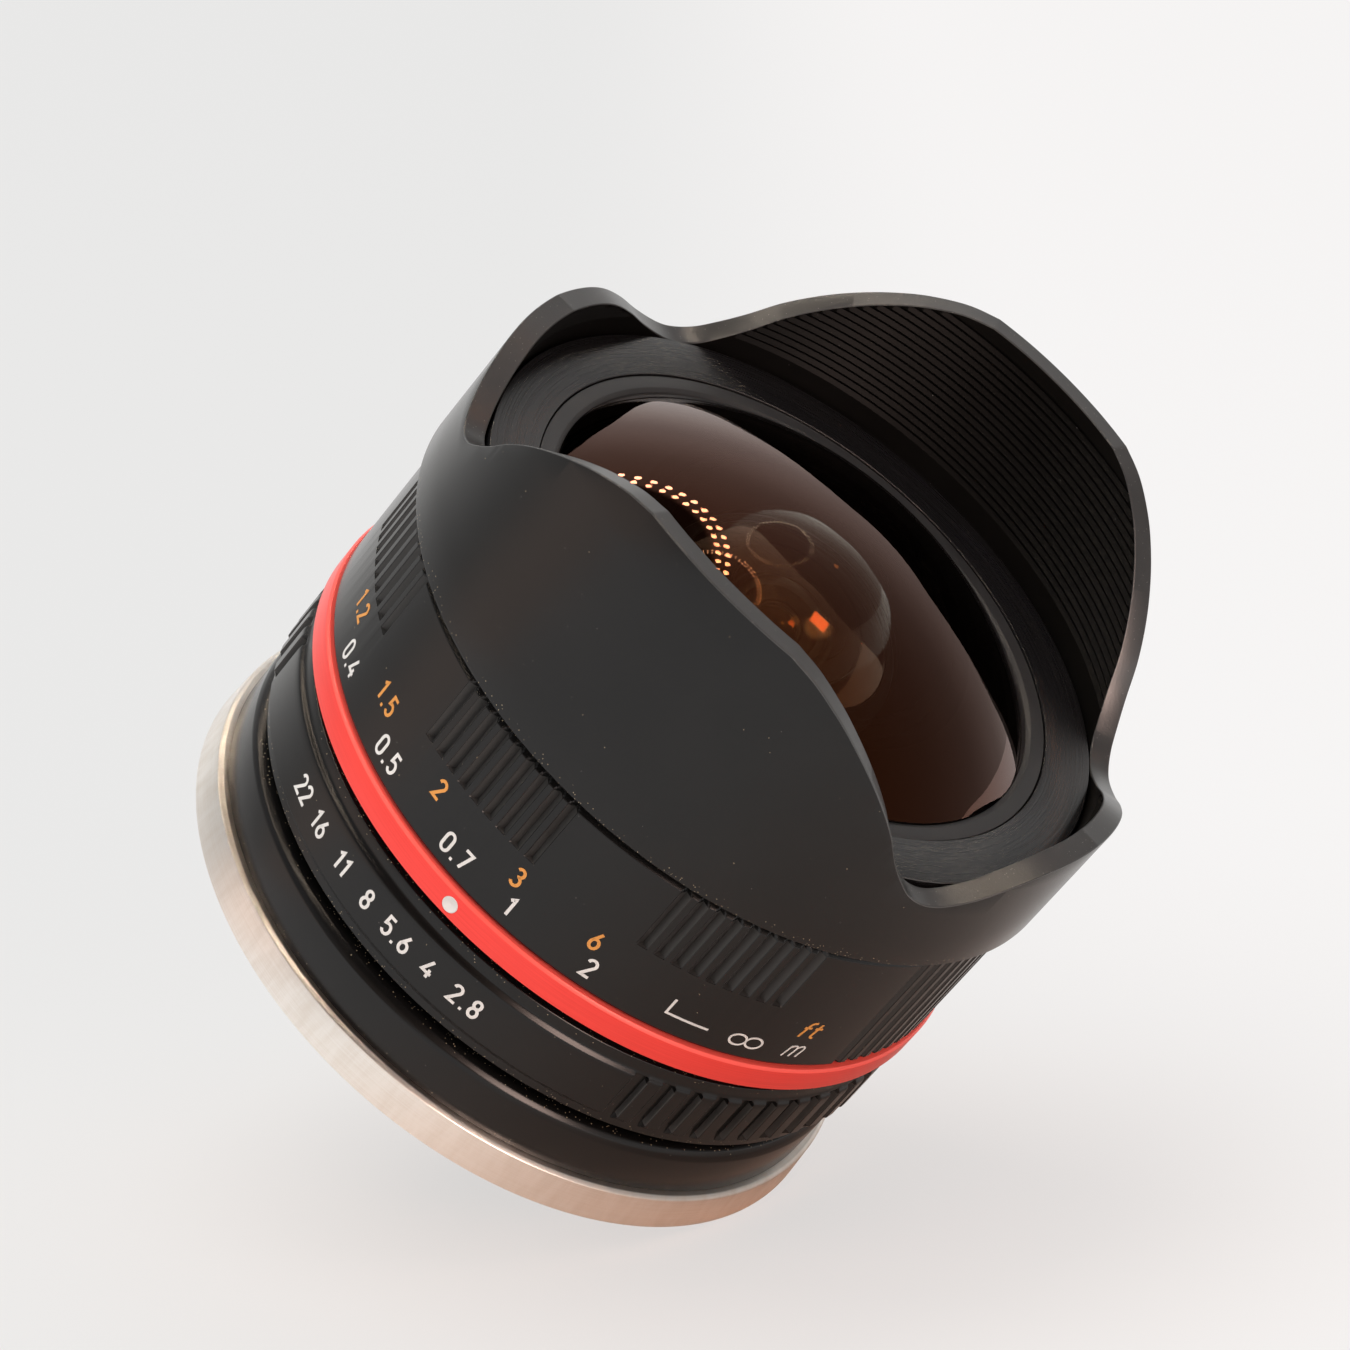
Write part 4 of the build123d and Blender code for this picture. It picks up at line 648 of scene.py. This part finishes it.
# Rear barrel: an aluminium ring, blasted and anodised black, with a rounded shoulder. The red dot in
# its side is set against the camera's dot when the lens is mounted.
black_anodised = anodised_finish("black_anodised", (0.0032, 0.0030, 0.0029, 1), (0.0044, 0.0041, 0.0040, 1),
                                 rough=0.23, grain=9000.0, depth=0.0000016, dust=0.3, gloss=0.37)
# Grey painted into the grip grooves of both rings lightens their shade: painted light, with a little more
# roughness there.
groove_light_tone = (0.034, 0.033, 0.032, 1)
tree = black_anodised.node_tree
shader = tree.nodes["Principled BSDF"]
focus_groove_light = placed_group(tree, groove_film, Inner=0.0293, Outer=0.02997, Rear=0.02095, Front=0.0334)
aperture_groove_light = placed_group(tree, groove_film, Inner=0.02943, Outer=0.02997, Rear=0.01095, Front=0.01525)
groove_lightening = maths(tree, "MINIMUM", maths(tree, "ADD", focus_groove_light.outputs[0], aperture_groove_light.outputs[0]), 1.0)
clean, smooth = (shader.inputs[label].links[0].from_socket for label in ("Base Color", "Roughness"))
fill(tree, shader, {"Base Color": mixed(tree, groove_lightening, clean, groove_light_tone),
                    "Roughness": maths(tree, "MULTIPLY_ADD", groove_lightening, 0.25, smooth)})
rear_barrel_outline = [(22.0, 3.44), (29.5, 3.44), (29.5, 7.35), (29.32, 7.75), (28.95, 8.12), (28.55, 8.3),
                       (22.0, 8.3)]
rear_barrel = turned_part("rear_barrel", eased(rear_barrel_outline, 0.12))
dressed(rear_barrel, "barrel", black_anodised, "black_anodised", "mount_barrel")
red_enamel = anodised_finish("red_enamel", (0.62, 0.02, 0.012, 1), (0.68, 0.025, 0.015, 1), rough=0.35,
                             grain=4000.0, depth=0.000001, specks=0.0)
smooth_copy("mount_index_dot", red_enamel, "barrel", "red_paint")
smooth_copy("main_barrel", black_anodised, "barrel", "black_anodised")

# Aperture ring: aluminium, turned with a step down to its front collar, then milled with grip grooves
# that stop for the number panel. One tree cuts the grooves of both rings: it lowers the turned wall.
grip_cutter, grip, result = geometry_group(
    "grip_cutter", "First", "Span", "Group Pitch", "Group Half", "Pitch", "Flat", "Wall Slope", "Floor",
    "Rear", "Rear Slope", "Front", "Front Slope")
calc = partial(maths, grip_cutter)
spot = node_in(grip_cutter, "GeometryNodeInputPosition").outputs[0]
x, y, z, wall_radius = around_axis(grip_cutter, spot)
window = calc("WRAP", calc("SUBTRACT", calc("ARCTAN2", y, x), grip["First"]), math.tau, 0.0)
half_group = calc("MULTIPLY", grip["Group Pitch"], 0.5)
in_group = calc("SUBTRACT", calc("WRAP", window, grip["Group Pitch"], 0.0), half_group)
near_group = calc("LESS_THAN", calc("ABSOLUTE", in_group), grip["Group Half"])
half_pitch = calc("MULTIPLY", grip["Pitch"], 0.5)
off_centre = calc("ABSOLUTE", calc("WRAP", in_group, half_pitch, calc("MULTIPLY", half_pitch, -1.0)))
flank, rear_end, front_end = (
    calc("MULTIPLY", calc("MAXIMUM", calc("SUBTRACT", past, edge), 0.0), grip[slope])
    for past, edge, slope in ((off_centre, grip["Flat"], "Wall Slope"), (grip["Rear"], z, "Rear Slope"),
                              (z, grip["Front"], "Front Slope")))
rise = calc("MAXIMUM", flank, calc("MAXIMUM", rear_end, front_end))
drop = calc("MAXIMUM", calc("SUBTRACT", wall_radius, calc("ADD", grip["Floor"], rise)), 0.0)
drop = calc("MULTIPLY", drop, calc("MULTIPLY", calc("LESS_THAN", window, grip["Span"]), near_group))
shrink = calc("DIVIDE", calc("SUBTRACT", wall_radius, drop), wall_radius)
lowered = xyz(grip_cutter, X=calc("MULTIPLY", x, shrink), Y=calc("MULTIPLY", y, shrink), Z=z)
pressed = node_in(grip_cutter, "GeometryNodeSetPosition",
                  {"Geometry": grip["Geometry"], "Position": lowered})
painted_end(grip_cutter, pressed.outputs[0], grip, result)

ring_radius = 30.0
index_azimuth = -90.0
grip_segments = 1440
first_rib = index_azimuth + 39.95
aperture_outline = [(26.65, 9.4), (29.25, 9.4), (29.4, 9.55), (29.4, 10.2), (30.0, 10.9), (30.0, 13.0),
                    (30.0, 14.6), (29.99, 15.1), (29.965, 15.35), (29.93, 15.46), (29.885, 15.53),
                    (29.8, 15.615), (29.72, 15.695), (29.62, 15.81), (29.57, 15.89), (29.54, 15.98),
                    (29.525, 16.1), (29.51, 16.3), (29.48, 16.75), (29.46, 16.83), (29.42, 16.88),
                    (29.37, 16.9), (26.65, 16.9)]
aperture = turned_part("aperture_grip_ring", aperture_outline, grip_segments, first_rib)
with_tree(aperture, grip_cutter, First=math.radians(first_rib - 2.5), Span=math.radians(265.0),
          Group_Pitch=math.radians(5.0), Group_Half=math.radians(5.0), Pitch=math.radians(5.0),
          Flat=math.radians(1.125), Wall_Slope=1.0 * MM / math.radians(0.25), Floor=29.4 * MM, Rear=0.0,
          Rear_Slope=0.0, Front=15.45 * MM, Front_Slope=1.0, Material=black_anodised)
creased(aperture.data, 22)
dressed(aperture, "aperture_ring", black_anodised, "black_anodised", "aperture_ring")

# Numbers and marks: enamel filled into engraved strokes. They are drawn flat, a little raised, and
# wrapped round the ring that carries them, tops towards the front.
enamel = partial(anodised_finish, rough=0.5, grain=6000.0, depth=0.000002, specks=0.0)
white_enamel = enamel("white_enamel", (0.63, 0.62, 0.605, 1), (0.70, 0.69, 0.67, 1))
orange_enamel = enamel("orange_enamel", (0.60, 0.24, 0.045, 1), (0.68, 0.29, 0.06, 1))
enamel_height = 0.02


def bend(x, y, wide, tall, first, last, steps=14):
    """Points of an arc from one angle to another in degrees."""
    turns = [math.radians(first + (last - first) * k / steps) for k in range(steps + 1)]
    return [(x + wide * math.cos(t), y + tall * math.sin(t)) for t in turns]


# Strokes of the condensed numerals, one line high, with each one's width; True closes a stroke
glyphs = {
    "0": (0.71, ((bend(0, 0.73, 0.22, 0.27, 0, 180) + bend(0, 0.27, 0.22, 0.27, 180, 360), True),)),
    "1": (0.56, (([(-0.16, 0.80), (0.05, 1.0), (0.05, 0)], False),)),
    "2": (0.71, ((bend(0, 0.76, 0.22, 0.24, 170, -30) + [(-0.22, 0), (0.24, 0)], False),)),
    "3": (0.71, ((bend(-0.01, 0.77, 0.20, 0.23, 155, -80) + bend(-0.01, 0.27, 0.23, 0.27, 80, -155),
                  False),)),
    "4": (0.74, (([(0.08, 1), (-0.25, 0.27), (0.29, 0.27)], False), ([(0.13, 0.50), (0.13, 0)], False))),
    "5": (0.71, (([(0.20, 1), (-0.17, 1), (-0.19, 0.55)] + bend(0, 0.31, 0.22, 0.31, 120, -150), False),)),
    "6": (0.71, ((bend(0, 0.29, 0.22, 0.29, 0, 360), True), ([(-0.19, 0.42), (0.10, 1)], False))),
    "7": (0.67, (([(-0.23, 1), (0.23, 1), (-0.07, 0)], False),)),
    "8": (0.71, ((bend(0, 0.77, 0.19, 0.23, 0, 360), True), (bend(0, 0.27, 0.22, 0.27, 0, 360), True))),
    ".": (0.46, (([(-0.075, 0), (0.075, 0)], False),)),
    "m": (1.3, (([(-0.56, 0), (-0.56, 1)], False), (bend(-0.28, 0.70, 0.28, 0.30, 165, 0) + [(0, 0)], False),
                (bend(0.28, 0.70, 0.28, 0.30, 165, 0) + [(0.56, 0)], False))),
    "f": (0.62, (([(-0.07, 0), (-0.07, 0.8)] + bend(0.12, 0.8, 0.19, 0.2, 180, 60), False),
                 ([(-0.25, 0.64), (0.18, 0.64)], False))),
    "t": (0.62, (([(-0.05, 0.95), (-0.05, 0.2)] + bend(0.12, 0.2, 0.17, 0.2, 180, 290), False),
                 ([(-0.23, 0.64), (0.20, 0.64)], False))),
}
fine_step = 0.25


def stroke(points, width, closed=False):
    """A flat raised mesh of a line of one width through points in millimetres, mitred at its corners."""
    path = []
    pairs = list(zip(points, points[1:] + (points[:1] if closed else [])))
    for (x0, y0), (x1, y1) in pairs:
        pieces = max(1, math.ceil(math.hypot(x1 - x0, y1 - y0) / fine_step))
        path += [Vector((x0 + (x1 - x0) * k / pieces, y0 + (y1 - y0) * k / pieces, 0))
                 for k in range(pieces)]
    if not closed:
        path.append(Vector((*points[-1], 0)))
    path = [point for k, point in enumerate(path) if (point - path[k - 1]).length > 0.001]
    count = len(path)
    low = Vector((0, 0, -0.05))
    high = Vector((0, 0, enamel_height))
    columns = []
    for index, point in enumerate(path):
        into = point - path[index - 1] if (index or closed) else path[1] - point
        out = path[(index + 1) % count] - point if (index < count - 1 or closed) else into
        into.normalize()
        heading = (into + out.normalized()).normalized()
        reach = width / 2 / max(0.5, heading.dot(into))
        side = Vector((-heading.y, heading.x, 0)) * reach
        columns.append([point + side + low, point - side + low, point - side + high, point + side + high])
    return swept_mesh("stroke", columns, closed)


def numeral(text, size, width=0.27, slant=0.0):
    """Flat meshes of a short text, centred, size high in millimetres with strokes of one width."""
    height = size - width
    whole = sum(glyphs[letter][0] for letter in text)
    start = -whole / 2
    meshes = []
    for letter in text:
        advance, strokes = glyphs[letter]
        for points, closed in strokes:
            placed = [((start + advance / 2 + x + slant * (y - 0.5)) * height, (y - 0.5) * height)
                      for x, y in points]
            meshes.append(stroke(placed, width, closed))
        start += advance
    return meshes


def engraved(name, drawings, body, material, slot):
    """Join wrapped drawings into one enamelled piece on a body."""
    joined = bmesh.new()
    for mesh in drawings:
        joined.from_mesh(mesh)
    mesh = bpy.data.meshes.new(name)
    joined.to_mesh(mesh)
    joined.free()
    return dressed(closed_shell(name, mesh), body, material, slot)


def marked(meshes, offset, height):
    """Wrap flat drawings in millimetres round a ring, so many degrees from the index."""
    for mesh in meshes:
        for vertex in mesh.vertices:
            x, y, lift = vertex.co
            angle = math.radians(index_azimuth + offset) + x / ring_radius
            reach = (ring_radius + lift) * MM
            vertex.co = (reach * math.cos(angle), reach * math.sin(angle), (height + y) * MM)
    return meshes


def scale_row(marks, height, size):
    """Numerals round a ring from (text, degrees from the index)."""
    return [mesh for text, offset in marks for mesh in marked(numeral(text, size), offset, height)]


stops = (("22", -31.6), ("16", -24.9), ("11", -17.3), ("8", -10.4), ("5.6", -3.3), ("4", 3.6), ("2.8", 11.0))
engraved("aperture_numbers", scale_row(stops, height=13.15, size=1.95), "aperture_ring", white_enamel,
         "white_paint")

# Red ring: a narrow aluminium ring, anodised red, with a bevelled front edge. The white index dot is
# enamel in a drilled dimple, which both scales are read against.
red_anodised, tree, shader = new_material("red_anodised")
finish = placed_group(tree, turned_finish, Pitch=0.00009)
# The front bevel is painted a lighter red: a painted highlight along the ring's front edge.
painted_highlight_red = (1.0, 0.11, 0.085, 1)
reds = ((0.3, (0.79, 0.040, 0.030, 1)), (0.7, (0.88, 0.055, 0.043, 1)))
lined = ramp_in(tree, finish.outputs["Shade"], reds)
height = node_in(tree, "ShaderNodeSeparateXYZ", {0: object_spot(tree)}).outputs["Z"]
bevel_highlight_mask = eased_step(tree, height, 0.0202, 0.02026)
fill(tree, shader, {"Base Color": mixed(tree, bevel_highlight_mask, lined, painted_highlight_red), "Roughness": 0.34,
                    "Metallic": 0.15, "Normal": relief(tree, finish, 0.000001)})
red_radius = 30.32
dot_height = 19.15
red_outline = eased([(28.62, 18.11), (red_radius, 18.11), (red_radius, 20.22), (30.14, 20.5),
                     (28.62, 20.5)], 0.05)
red = turned_part("red_index_ring", red_outline)
dimple = turned_part("dimple", [(0, -0.4), (0.72, -0.4), (0.72, 2), (0, 2)], 64)
facing_index = Matrix.Rotation(math.radians(90), 4, "X")
at_index = Matrix.Translation((0, -red_radius * MM, dot_height * MM)) @ facing_index
carved(red, [moved(dimple, at_index)])
dressed(red, "barrel", red_anodised, "red_anodised", "red_ring")
dot_outline = [(0.001, -0.38), (0.70, -0.38), (0.70, -0.02), (0.62, 0.0), (0.1, -0.2), (0.001, -0.21)]
dot = moved(turned_part("white_index_dot", dot_outline, 64), at_index)
dressed(dot, "barrel", white_enamel, "white_paint", "index_dot")

# Focus ring: turned aluminium with eight groups of nine milled V grooves; the three groups beside the
# scales are short. The scales are in metres, white, and in feet, orange.
groove_depth = 0.62
focus_outline = [(26.52, 20.8), (29.82, 20.8), (29.95, 20.85), (30.0, 20.98), (30.0, 24.0), (30.0, 27.14),
                 (30.0, 27.2), (30.0, 30.0), (30.0, 33.46), (29.97, 33.54), (29.8, 33.7), (29.6, 33.9),
                 (29.4, 34.1), (29.23, 34.27), (29.16, 34.3), (26.52, 34.3)]
focus = turned_part("focus_grip_ring", focus_outline, grip_segments, index_azimuth - 7.5)
groove_wall = groove_depth * MM / math.radians(1.0)
for first, groups, rear in ((-75.0, 3, 27.2), (60.0, 5, 10.0)):
    with_tree(focus, grip_cutter, First=math.radians(index_azimuth + first),
              Span=math.radians(45.0 * groups), Group_Pitch=math.radians(45.0),
              Group_Half=math.radians(13.5), Pitch=math.radians(3.0), Flat=0.0, Wall_Slope=groove_wall,
              Floor=(ring_radius - groove_depth) * MM, Rear=rear * MM, Rear_Slope=10.0, Front=60.0 * MM,
              Front_Slope=0.0, Material=black_anodised)
creased(focus.data, 18)
dressed(focus, "focus_ring", black_anodised, "black_anodised", "focus_ring")
metres = (("0.4", -42.3), ("0.5", -23.3), ("0.7", -4.6), ("1", 6.9), ("2", 21.7))
feet = (("1.2", -49.2), ("1.5", -30.1), ("2", -12.7), ("3", 5.0), ("6", 19.8))
white_marks = scale_row(metres, height=22.8, size=2.0)
white_marks += marked(numeral("m", 1.45, width=0.17, slant=0.3), offset=59.1, height=22.55)
endless = [stroke(bend(x, 0, 0.76, 0.60, turn, turn + 360, steps=28), 0.19, True)
           for x, turn in ((-0.76, 0), (0.76, 180))]
white_marks += marked(endless, offset=49.7, height=22.7)
corner_mark = stroke([(0.0, 1.57), (0.0, 0.0), (3.93, -0.06)], 0.22)
white_marks += marked([corner_mark], offset=35.3, height=22.75)
engraved("metre_scale", white_marks, "focus_ring", white_enamel, "white_paint")
orange_marks = scale_row(feet, height=25.3, size=1.95)
orange_marks += marked(numeral("ft", 1.95, width=0.24, slant=0.25), offset=59.0, height=25.2)
engraved("feet_scale", orange_marks, "focus_ring", orange_enamel, "white_paint")

# Hood: one aluminium turning, milled to two long and two short petals. It is anodised black, its cut
# rim is left blasted, and seventeen turned steps inside keep light off the glass.
rim_points = ((0, 57.1), (7, 57.08), (14, 57.0), (19, 56.3), (24.4, 55.0), (28, 53.9), (33, 52.1),
              (38, 50.0), (42.8, 47.6), (46.5, 45.3), (49.9, 43.6), (53.2, 42.35), (57, 41.8),
              (60.4, 42.0), (65.7, 43.0), (71, 44.35), (76.2, 45.4), (81, 45.9), (90, 46.3))
petal_corner = 14
hood_segments = 1200


def rim_height(azimuth):
    """The rim's height at an azimuth from the middle of a long petal: a smooth curve with one corner."""
    turned_by = abs((azimuth + 180) % 360 - 180)
    away = min(turned_by, 180 - turned_by)
    for index in range(len(rim_points) - 1):
        if away <= rim_points[index + 1][0]:
            break
    known = [rim_points[max(0, min(len(rim_points) - 1, index + k))] for k in (-1, 0, 1, 2)]
    (x0, y0), (x1, y1), (x2, y2), (x3, y3) = known
    span = x2 - x1
    t = (away - x1) / span
    m1 = y2 - y1 if x1 == petal_corner else (y2 - y0) / (x2 - x0) * span
    m2 = y2 - y1 if x2 == petal_corner else (y3 - y1) / (x3 - x1) * span
    return ((2 * t**3 - 3 * t**2 + 1) * y1 + (t**3 - 2 * t**2 + t) * m1 + (3 * t**2 - 2 * t**3) * y2
            + (t**3 - t**2) * m2)


hood_radius = 30.84
inner_radius = 28.9
step_radius = 29.18
first_step = 43.9
step_rise = 0.7
hood_steps = 17
lip = 0.1
wall_levels = (38.0, 41.0, 44.0, 47.0, 50.0, 53.0, 60.0)
inside = [(inner_radius, first_step + hood_steps * step_rise)]
for number in reversed(range(hood_steps)):
    level = first_step + number * step_rise
    inside += [(step_radius, level + 0.36), (step_radius, level + 0.35), (inner_radius, level)]
below = [(28.9, 37.2), (22.5, 37.2), (22.5, 36.0), (24.62, 36.0), (24.62, 35.4), (29.4, 35.4), (29.4, 34.62),
         (30.6, 34.62), (30.74, 34.66), (30.82, 34.76), (30.84, 34.9)]
columns = []
for segment in range(hood_segments):
    azimuth = 360.0 * segment / hood_segments
    rim = rim_height(azimuth)
    edge = (inner_radius, rim - lip)
    outline = below + [(hood_radius, min(rim - 0.12, level)) for level in wall_levels]
    outline += [(30.82, rim - 0.05), (30.75, rim), (29.0, rim), (28.93, rim - 0.04), edge]
    outline += [edge if level > rim - lip else (radius, level) for radius, level in inside]
    columns.append(column_at(outline, index_azimuth + azimuth))
outer_rows = len(below) + len(wall_levels) - 1
finish_rows = [0] * outer_rows + [1] * 5 + [2] * (len(outline) - outer_rows - 5)
hood_mesh = swept_mesh("petal_hood", columns)
hood_mesh.polygons.foreach_set("material_index", finish_rows * hood_segments)
# The rim's bright specks are painted glints, standing in for the sparkle of its blasted grain.
blasted_rim = anodised_finish("blasted_rim", (0.020, 0.0195, 0.0195, 1), (0.030, 0.0295, 0.0295, 1),
                              rough=0.34, grain=5000.0, depth=0.000012, specks=0.6,
                              speck_tone=(0.24, 0.235, 0.23, 1), gloss=1.0)
baffle_black = anodised_finish("baffle_black", (0.003, 0.0026, 0.0023, 1), (0.004, 0.0035, 0.0031, 1),
                               rough=0.5, grain=6000.0, depth=0.000003, gloss=0.10)
for finish in (black_anodised, blasted_rim, baffle_black):
    hood_mesh.materials.append(finish)
hood = closed_shell("petal_hood", hood_mesh, 24.0)
dressed(hood, "barrel", black_anodised, "black_anodised", "hood")

# Name ring and retaining ring: turned, fine-lined and anodised; the name ring is left bare. They
# hold the front element in its cell and move with the optics.
ring_black = metal_finish("ring_black", (0.010, 0.0096, 0.0102, 1), (0.006, 0.0057, 0.0062, 1), metallic=0.0,
                          rough=0.25, pitch=0.00009, depth=0.000002, stained=0.0, gloss=0.95)
tree = ring_black.node_tree
round_axis = node_in(tree, "ShaderNodeTangent", direction_type="RADIAL", axis="Z").outputs[0]
fill(tree, tree.nodes["Principled BSDF"], {"Anisotropic": 0.95, "Tangent": round_axis})
name_outline = eased([(24.3, 41.3), (28.62, 41.3), (28.62, 42.15), (24.3, 42.15)], 0.12)
name_ring = turned_part("front_name_ring", name_outline)
dressed(name_ring, "optics", ring_black, "black_anodised", "name_ring")
retainer_outline = eased([(22.5, 41.0), (23.22, 41.0), (23.22, 40.4), (24.2, 40.4), (24.2, 42.0),
                          (22.95, 42.0), (22.5, 41.8)], 0.06)
retainer = turned_part("front_glass_ring", retainer_outline)
ring_grey = anodised_finish("ring_grey", (0.026, 0.0265, 0.0275, 1), (0.031, 0.0315, 0.0325, 1), rough=0.42,
                            grain=8000.0, depth=0.000002)
dressed(retainer, "optics", ring_grey, "black_anodised", "front_retainer")

# Glass: eleven polished elements in eight groups with an amber coating. The edges are painted black
# as opticians do, so that only the polished faces pass light.


def glass(name, coating):
    """Clear optical glass with a coloured coating that sets what it mirrors."""
    made, tree, shader = new_material(name)
    fill(tree, shader, {"Base Color": (1.0, 0.93, 0.82, 1), "Transmission Weight": 1.0, "Roughness": 0.0,
                        "IOR": 1.75, "Specular Tint": coating})
    return made


amber_glass = glass("amber_glass", (1.0, 0.27, 0.08, 1))
second_glass = glass("second_glass", (0.50, 0.16, 0.05, 1))
inner_glass = glass("inner_glass", (0.09, 0.038, 0.013, 1))
front_faces = {"front_element": amber_glass, "second_element": second_glass}
edge_black, tree, shader = new_material("edge_black")
cloud = placed_group(tree, blasted_grain, Grain=2000.0, Specks=0.0).outputs["Cloud"]
tones = ((0.35, (0.0025, 0.002, 0.002, 1)), (0.65, (0.004, 0.0035, 0.003, 1)))
fill(tree, shader, {"Base Color": ramp_in(tree, cloud, tones), "Roughness": 0.7, "Specular IOR Level": 0.08})
# Each element's front apex and curvature, rear apex and curvature, edge radius and, on the two large
# ones, the flat steps round both faces as (radius, height)
elements = {
    "front_element": (49.8, 35.99, 47.2, 14.2, 23.2, (22.45, 41.0), (13.133, 38.4)),
    "second_element": (40.0, 45.0, 38.4, 9.6, 12.0, (11.2, 37.7), (7.98, 33.1)),
    "third_element": (31.2, -28.0, 30.0, 10.5, 7.6),
    "fourth_element": (29.99, 10.5, 24.8, -24.0, 7.6),
    "fifth_element": (24.0, 26.0, 21.4, -30.0, 7.6),
    "sixth_element": (16.4, -20.0, 15.4, 11.0, 5.8),
    "seventh_element": (15.39, 11.0, 12.2, -16.0, 5.8),
    "eighth_element": (11.6, 40.0, 9.4, -22.0, 6.4),
    "ninth_element": (8.8, 30.0, 5.4, -14.0, 7.2),
    "tenth_element": (5.39, -14.0, 4.4, 60.0, 7.2),
    "rear_element": (3.6, 22.0, 1.5, -40.0, 7.6),
}


def glass_face(apex, curvature, reach, steps=40):
    """Points of a spherical face from the axis to a radius."""
    points = []
    for step in range(steps + 1):
        radius = reach * step / steps
        drop = abs(curvature) - math.sqrt(curvature**2 - radius**2)
        points.append((max(radius, 0.0001), apex - math.copysign(drop, curvature)))
    return points


for node, (front, front_curve, rear, rear_curve, edge, *flats) in elements.items():
    faces, clear = [], []
    for apex, curvature, flat in zip((front, rear), (front_curve, rear_curve), flats or (None, None)):
        clear.append(flat[0] if flat else edge)
        faces.append(glass_face(apex, curvature, clear[-1]) + ([flat, (edge, flat[1])] if flat else []))
    outline = faces[0] + faces[1][::-1]
    lens = closed_shell(f"{node}_glass", turned_mesh(node, outline, 256), 20.0)
    for finish in (front_faces.get(node, inner_glass), inner_glass, edge_black):
        lens.data.materials.append(finish)
    verts = lens.data.vertices
    for face in lens.data.polygons:
        reach = max(verts[v].co.xy.length for v in face.vertices)
        side = 0 if face.normal.z > 0 else 1
        upright = abs(face.normal.z) < 0.05
        face.material_index = 2 if upright or reach > (clear[side] + 0.01) * MM else side
    dressed(lens, "optics", amber_glass, "coated_glass", node)

# Inside parts: cells, spacers, tube, cams and iris keep their CAD shape. Cells are matt black so that
# they throw no light back, the blades are blued spring steel.
cell_black, tree, shader = new_material("cell_black")
shade = placed_group(tree, turned_finish, Pitch=0.0002).outputs["Shade"]
tones = ((0.3, (0.0008, 0.0007, 0.0006, 1)), (0.7, (0.0016, 0.0014, 0.0012, 1)))
fill(tree, shader, {"Base Color": ramp_in(tree, shade, tones), "Roughness": 0.6, "Specular IOR Level": 0.06})
machined_brass = metal_finish("machined_brass", (0.62, 0.42, 0.17, 1), (0.50, 0.33, 0.12, 1), metallic=1.0,
                              rough=0.3, pitch=0.00008, depth=0.000002)
blued_steel = metal_finish("blued_steel", (0.05, 0.05, 0.055, 1), (0.03, 0.03, 0.033, 1), metallic=0.85,
                           rough=0.35, pitch=0.0002, depth=0.000001)
slot_finish = {"black_anodised": black_anodised, "black_blasted": cell_black, "mount_chrome": nickel_plate,
               "baffle_plastic": moulded_black, "red_anodised": red_anodised, "white_paint": white_enamel,
               "red_paint": red_enamel, "brass": machined_brass, "steel": blackened_steel,
               "blade_steel": blued_steel, "coated_glass": inner_glass}
for row in frame["record"]["subparts"]:
    shown_node = nodes[row["node"]]
    if shown_node.hide_render:
        continue
    shown_node.data.materials.clear()
    shown_node.data.materials.append(slot_finish[row["material_slot"]])
